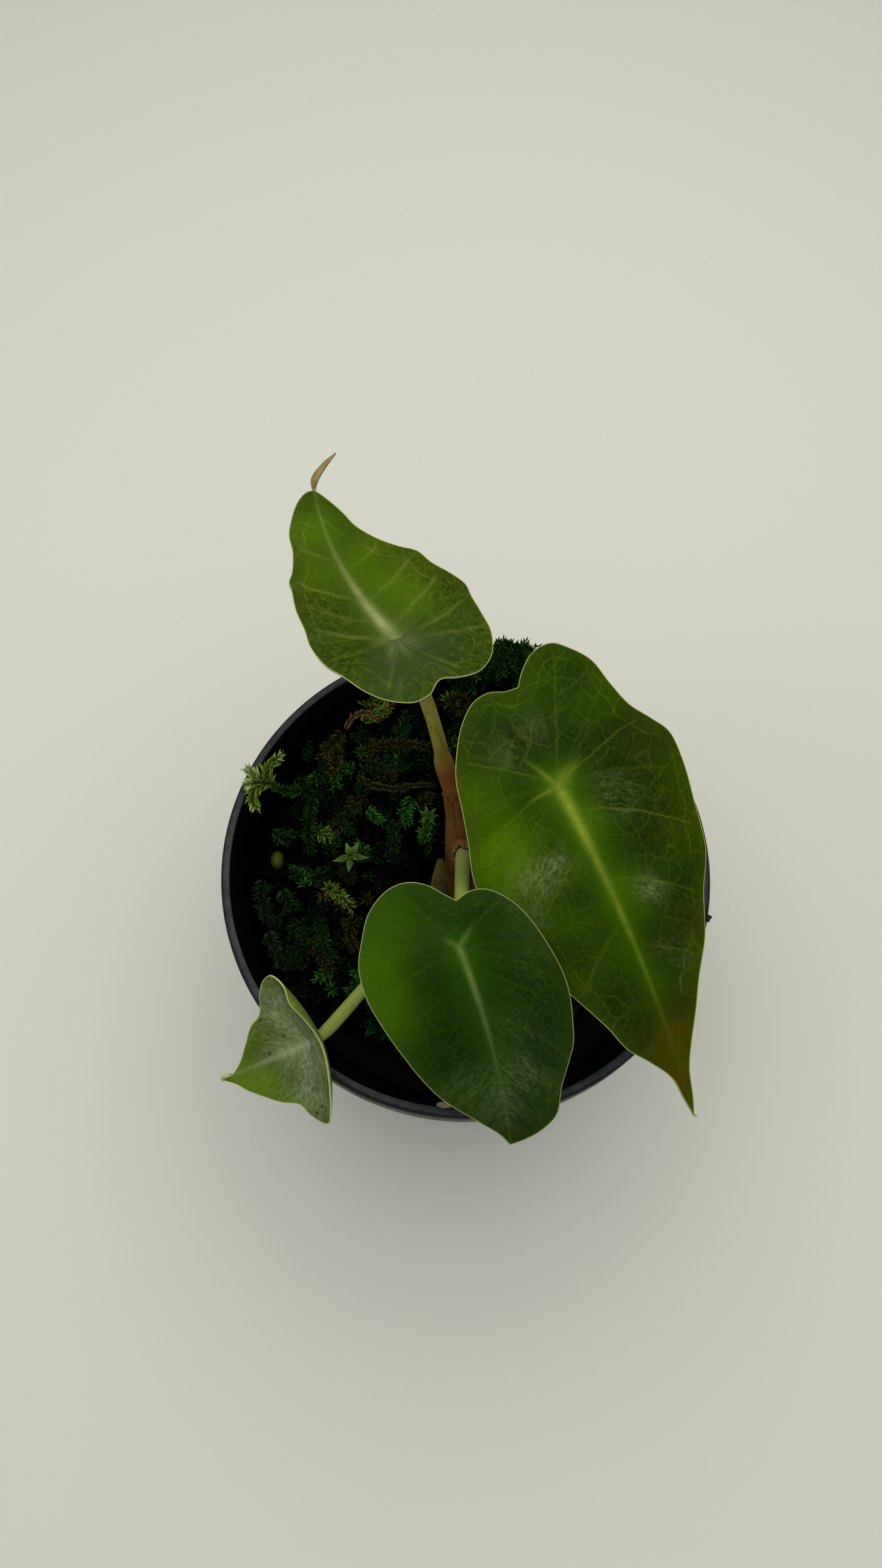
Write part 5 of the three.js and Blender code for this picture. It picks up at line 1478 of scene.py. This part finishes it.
def frond(plan, hue, tips=None):
    """A creeping shoot: leaves along its line, and short side shoots to the left and the right."""
    placed = leafy_shoot(plan, hue, leaf=1.3, width=0.2, lean=1.1, radius=0.1, tips=tips)
    line = smooth_line([(*p, 0) for p in plan], 60)
    heading = unit(np.gradient(line[:, :3], axis=0))
    count = int(np.linalg.norm(np.diff(line[:, :3], axis=0), axis=1).sum() / 0.6)
    for i in range(count):
        k = min(59, int(60 * (i + draw.random()) / count))
        side = unit(np.cross(heading[k], (0, 0, 1))) * (1 if i % 2 else -1)
        way = heading[k] * 0.6 + side * 0.8 + np.array([0, 0, some(0.15, 0.4)])
        run = some(1.1, 0.9) * (1 - 0.5 * k / 60)
        start = line[k, :3]
        spur = [start, start + 0.5 * run * way, start + run * way + (0, 0, -0.2)]
        placed += leafy_shoot(spur, hue, leaf=0.9, width=0.26, radius=0.06, tips=tips)
    return placed


def moss_spot():
    """A seeded spot on the moss, with the height of its top."""
    angle = draw.random() * 2 * math.pi
    room = moss_reach(angle) - CROWN_COLLAR - 1.4
    radius = CROWN_COLLAR + 1 + room * math.sqrt(draw.random())
    x, y = radius * math.cos(angle), radius * math.sin(angle)
    return x, y, moss_top(x, y)


def creeping(x, y, way, run, half, bend, heights):
    """Three points of a shoot that leaves a spot on the moss and may turn a little on its way."""
    steps = zip(((0, 0), (half * run, way), (run, way + bend)), heights)
    return [(x + far * math.cos(turn), y + far * math.sin(turn), z) for (far, turn), z in steps]


def low_strays():
    placed = []
    for _ in range(STRAYS["low"]):
        x, y, z = moss_spot()
        way, run = draw.random() * 2 * math.pi, some(1.6, 2.2)
        line = creeping(x, y, way, run, 0.5, 0, (z - 1.4, z - 0.5, some(z, 0.4)))
        placed += leafy_shoot(line, any_of(STRAY_HUES), leaf=1.2, width=0.26, per_mm=4, radius=0.1)
    return placed


def high_strays():
    placed = []
    for _ in range(STRAYS["heads"]):
        x, y, z = moss_spot()
        hue = any_of(HIGH_HUES)
        lean = draw.normal(0, 0.3, 2)
        high = some(z + 0.3, 1.1)
        placed += leafy_head((x, y, high), hue, leaves=12, leaf=some(1.3, 0.6), width=0.26,
                             rise=0.9, core=0.3, up=(*lean, 1))
        placed += leafy_shoot([(x, y, high - 2), (x, y, high)], hue, leaf=1, width=0.26, per_mm=6)
    for _ in range(STRAYS["fronds"]):
        x, y, z = moss_spot()
        way, run = draw.random() * 2 * math.pi, some(2.5, 2.5)
        plan = creeping(x, y, way, run, 0.6, 0.3, (z - 0.6, z + 0.4, z + 0.6))
        placed += frond(plan, any_of(HIGH_HUES))
    return placed


def cushion_shoots():
    """The cushion that has climbed over the rim: short shoots that stand out of it on all sides."""
    placed = []
    for _ in range(CUSHION["shoots"]):
        across, along = (draw.normal(0, spread) for spread in CUSHION["spread"])
        x, y = CUSHION["middle"][0] + across, CUSHION["middle"][1] + along - 0.03 * across**2
        z = min(CUSHION["highest"], moss_top(x, y - 1) + 1.0)
        if abs(along) > 2.6 or abs(across) > 9 or y > 36.9:
            continue
        lean = draw.normal(0, 0.35, 2)
        line = [(x + k * lean[0], y + k * lean[1], z + rise)
                for k, rise in ((0, -1.5), (1, -0.4), (2, 0.5))]
        placed += leafy_shoot(line, any_of(CUSHION_HUES), leaf=1.3, width=0.22, per_mm=6, radius=0.1)
    return [leaf for leaf in placed if leaf[0][2] > POT_TOP or math.hypot(*leaf[0][:2]) < 35.6]


def add_shoots():
    named = []
    for hue, plan in SHOOTS:
        named += frond(on_moss(plan, 0.7), hue, tips="lime" if hue == "lime" else None)
    for name, leaves, *nodes in (
        ("moss_fronds", within_pot(named), "moss_carpet"),
        ("moss_low_shoots", within_pot(low_strays())),
        ("moss_heads", within_pot(high_strays())),
        ("moss_cushion", cushion_shoots()),
    ):
        settle(copies(name, leaves), "moss_green", *nodes, materials=[LIVE_MOSS], smooth=False)


add_shoots()

# %% [markdown]
# Some pieces of moss catch the eye: a bright sprig that leans over the rim, a pale star, a yellow
# tuft, and dead strands that lie across the rest. They are made with the same leaf, on stems of
# their own. Each row below is a way to place leaves, a point or a course, a colour and the rest.

# %% Loose moss
def bottle_brush(plan, hue, tips, leaf=1.6, per_mm=8):
    return leafy_shoot(plan, hue, leaf, 0.12, 0.95, per_mm, 0.08, tips)


def star(at, hue, reaches, width):
    """Flat pointed leaves that reach from one point to others."""
    placed = []
    for reach in reaches:
        way = np.array(reach, float) - np.array(at)
        long = np.linalg.norm(way)
        placed.append((np.array(at, float), way, (0, 0, 1), long, width, tone(hue, 0.1)))
    return placed


LIME_TO_BRIGHT = ("lime", dict(tips="bright"))
LOOSE_MOSS = {
    "rim_sprig": ("moss_bright", "moss_sprig_rim", [
        (bottle_brush, [(-27, 14.8, 56.5), (-29.4, 13.8, 60.5), (-30.8, 13.4, 64)], "fresh",
         dict(tips="lime")),
        (bottle_brush, [(-30.4, 13.5, 64.4), (-32.2, 13, 66.3), (-34.6, 12.5, 66.9)], *LIME_TO_BRIGHT),
        (bottle_brush, [(-31.2, 13.4, 65.6), (-31.2, 15.6, 66.2), (-29.2, 18.2, 65.4)], *LIME_TO_BRIGHT),
        (bottle_brush, [(-32.4, 12.9, 66.3), (-33.4, 11, 66), (-33, 9.2, 64.6)], *LIME_TO_BRIGHT),
        (bottle_brush, [(-32.6, 13.2, 66.4), (-33.6, 14.4, 67.2), (-34.4, 15, 67.4)], "bright",
         dict(tips="bright")),
    ]),
    "pale_star": ("moss_bright", "moss_star_left", [
        (star, (-18.5, 3.6, 57.3), "pale", dict(width=1.25, reaches=[
            (-21.7, 3, 57), (-15.4, 3.6, 57), (-19.3, 6, 57.6), (-17.2, 6.1, 57.6),
            (-18.8, 0.9, 56.8)])),
        (leafy_head, (-18.5, 3.7, 57.4), "lime",
         dict(leaves=7, leaf=1.3, width=0.4, rise=0.9, core=0.3)),
        (leafy_shoot, [(-18.5, 3.6, 53), (-18.5, 3.6, 57)], "mid",
         dict(leaf=1.4, width=0.3, per_mm=6)),
    ]),
    "bright_tuft": ("moss_bright", "moss_tuft_middle", [
        (star, (-5.9, 10.4, 57.6), "pale", dict(width=0.6, reaches=[
            (-7.6, 11.6, 57.4), (-6.4, 12.4, 57.8), (-4.5, 12, 57.5), (-4, 10.6, 57.4),
            (-4.6, 8.8, 57.2), (-7.3, 9.4, 57.3)])),
        (frond, [(-6.6, 6, 55.6), (-6.4, 8, 56.4), (-5.9, 10.4, 57.2)], "fresh", dict(tips="lime")),
    ]),
    "olive_head": ("moss_olive", "moss_head_olive", [
        (leafy_head, (-21.6, -1.8, 57.2), "lime",
         dict(leaves=16, leaf=1.5, width=0.36, rise=1.0, core=0.5)),
        (leafy_head, (-22.6, -3, 56.8), "gold",
         dict(leaves=10, leaf=1.3, width=0.3, rise=0.8, core=0.4)),
        (frond, [(-21.6, -1.8, 56.8), (-19.8, -3, 57), (-18, -5, 56.4)], "lime", dict(tips="gold")),
    ]),
    "back_clump": ("moss_olive", "moss_clump_back", [
        (leafy_head, (-0.8, 28.4, 61.6), "olive",
         dict(leaves=40, leaf=2.0, width=0.3, rise=1.1, core=2.0)),
        (leafy_head, (-2.2, 29.4, 61), "lime",
         dict(leaves=20, leaf=1.6, width=0.3, rise=1.1, core=1.2)),
        (leafy_shoot, [(-0.8, 28.2, 54), (-0.8, 28.3, 61)], "olive",
         dict(leaf=1.8, width=0.3, per_mm=8)),
    ]),
    "tan_strand": ("moss_dead", "moss_strand_tan", [
        (bottle_brush, [
            (-19.8, 25.2, 58.8), (-18.2, 27.3, 59.3), (-16.2, 27.8, 59.6), (-14.6, 26.6, 59.3),
            (-12.6, 27.6, 59)], "tan", dict(tips="gold", leaf=0.8, per_mm=12)),
        (frond, [(-16.8, 26.4, 58.6), (-14, 28.2, 59.2), (-11.8, 29.4, 59)], "lime",
         dict(tips="gold")),
    ]),
    "gold_strand": ("moss_olive", "moss_strand_gold", [
        (frond, [(-20.4, 24.6, 58.6), (-22, 22.6, 58.4), (-23.6, 20.4, 58)], "olive",
         dict(tips="gold")),
        (frond, [(-21.6, 23, 58), (-21.2, 20.4, 58.2), (-21.6, 17.8, 57.8)], "olive",
         dict(tips="gold")),
    ]),
    "dull_strand": ("moss_dead", "moss_strand_olive", [
        (leafy_shoot, [
            (-17.5, 17, 57.6), (-15, 15.6, 57.8), (-11.5, 15, 57.8), (-8, 15.6, 57.6),
            (-5.2, 15.8, 57.3)], "olive", dict(leaf=1.1, width=0.22, per_mm=9, radius=0.15, lean=0.7)),
    ]),
}
CAPSULE = dict(place=(-30.3, 2.9, 57.2), radii=(1.05, 1.5, 1.1))


def add_loose_moss():
    for name, (slot, node, parts) in LOOSE_MOSS.items():
        leaves = []
        for placing, where, hue, settings in parts:
            leaves += placing(where, hue, **settings)
        settle(copies(name, leaves), slot, node, materials=[LIVE_MOSS], smooth=False)


def add_capsule():
    """A ripe spore capsule: a smooth olive bud on its side."""
    pick()
    bpy.ops.mesh.primitive_uv_sphere_add(segments=32, ring_count=20, radius=MM)
    bud = new_piece("spore_capsule")
    write_points(bud, read_points(bud) * CAPSULE["radii"] + np.array(CAPSULE["place"]) * MM)
    skin = mottled("spore_capsule_skin", "#2c3a0a", "#525e14", 1.2, 0.5,
                   surface=dict(Specular_IOR_Level=0.3))
    settle(bud, "moss_olive", "moss_capsule", materials=[skin])


add_loose_moss()
add_capsule()

# %% [markdown]
# Two crumbs fell on the rim when the pot was filled: one of dark bark, one of pale straw. A stone
# could be sculpted, but a small ball whose points are pushed in and out by a few waves is lumpy
# enough at this size.

# %% Crumbs on the rim
def add_crumb(name, slot, node, place, size, hue):
    pick()
    bpy.ops.mesh.primitive_ico_sphere_add(subdivisions=3, radius=0.5 * MM)
    crumb = new_piece(name)
    points = read_points(crumb) / MM
    lumps = 1 + 0.25 * np.sin(9 * points[:, :1] + 4) * np.sin(8 * points[:, 1:2])
    lumps = lumps + 0.1 * np.sin(21 * points[:, 2:])
    write_points(crumb, (points * lumps * np.array(size) + np.array(place)) * MM)
    substance = mottled(name.removesuffix("_crumb"), hue, "#2a2622", 0.4, 0.8, 0.1, detail=4)
    settle(crumb, slot, node, materials=[substance])


add_crumb("bark_crumb", "crumb_dark", "crumb_right", (36.5, -8.6, 65.6), (1.5, 1.2, 1.3), "#0c0a08")
add_crumb("straw_crumb", "crumb_pale", "crumb_front", (-3.2, -36, 65.45), (2.6, 1.0, 1.0), "#a8a274")
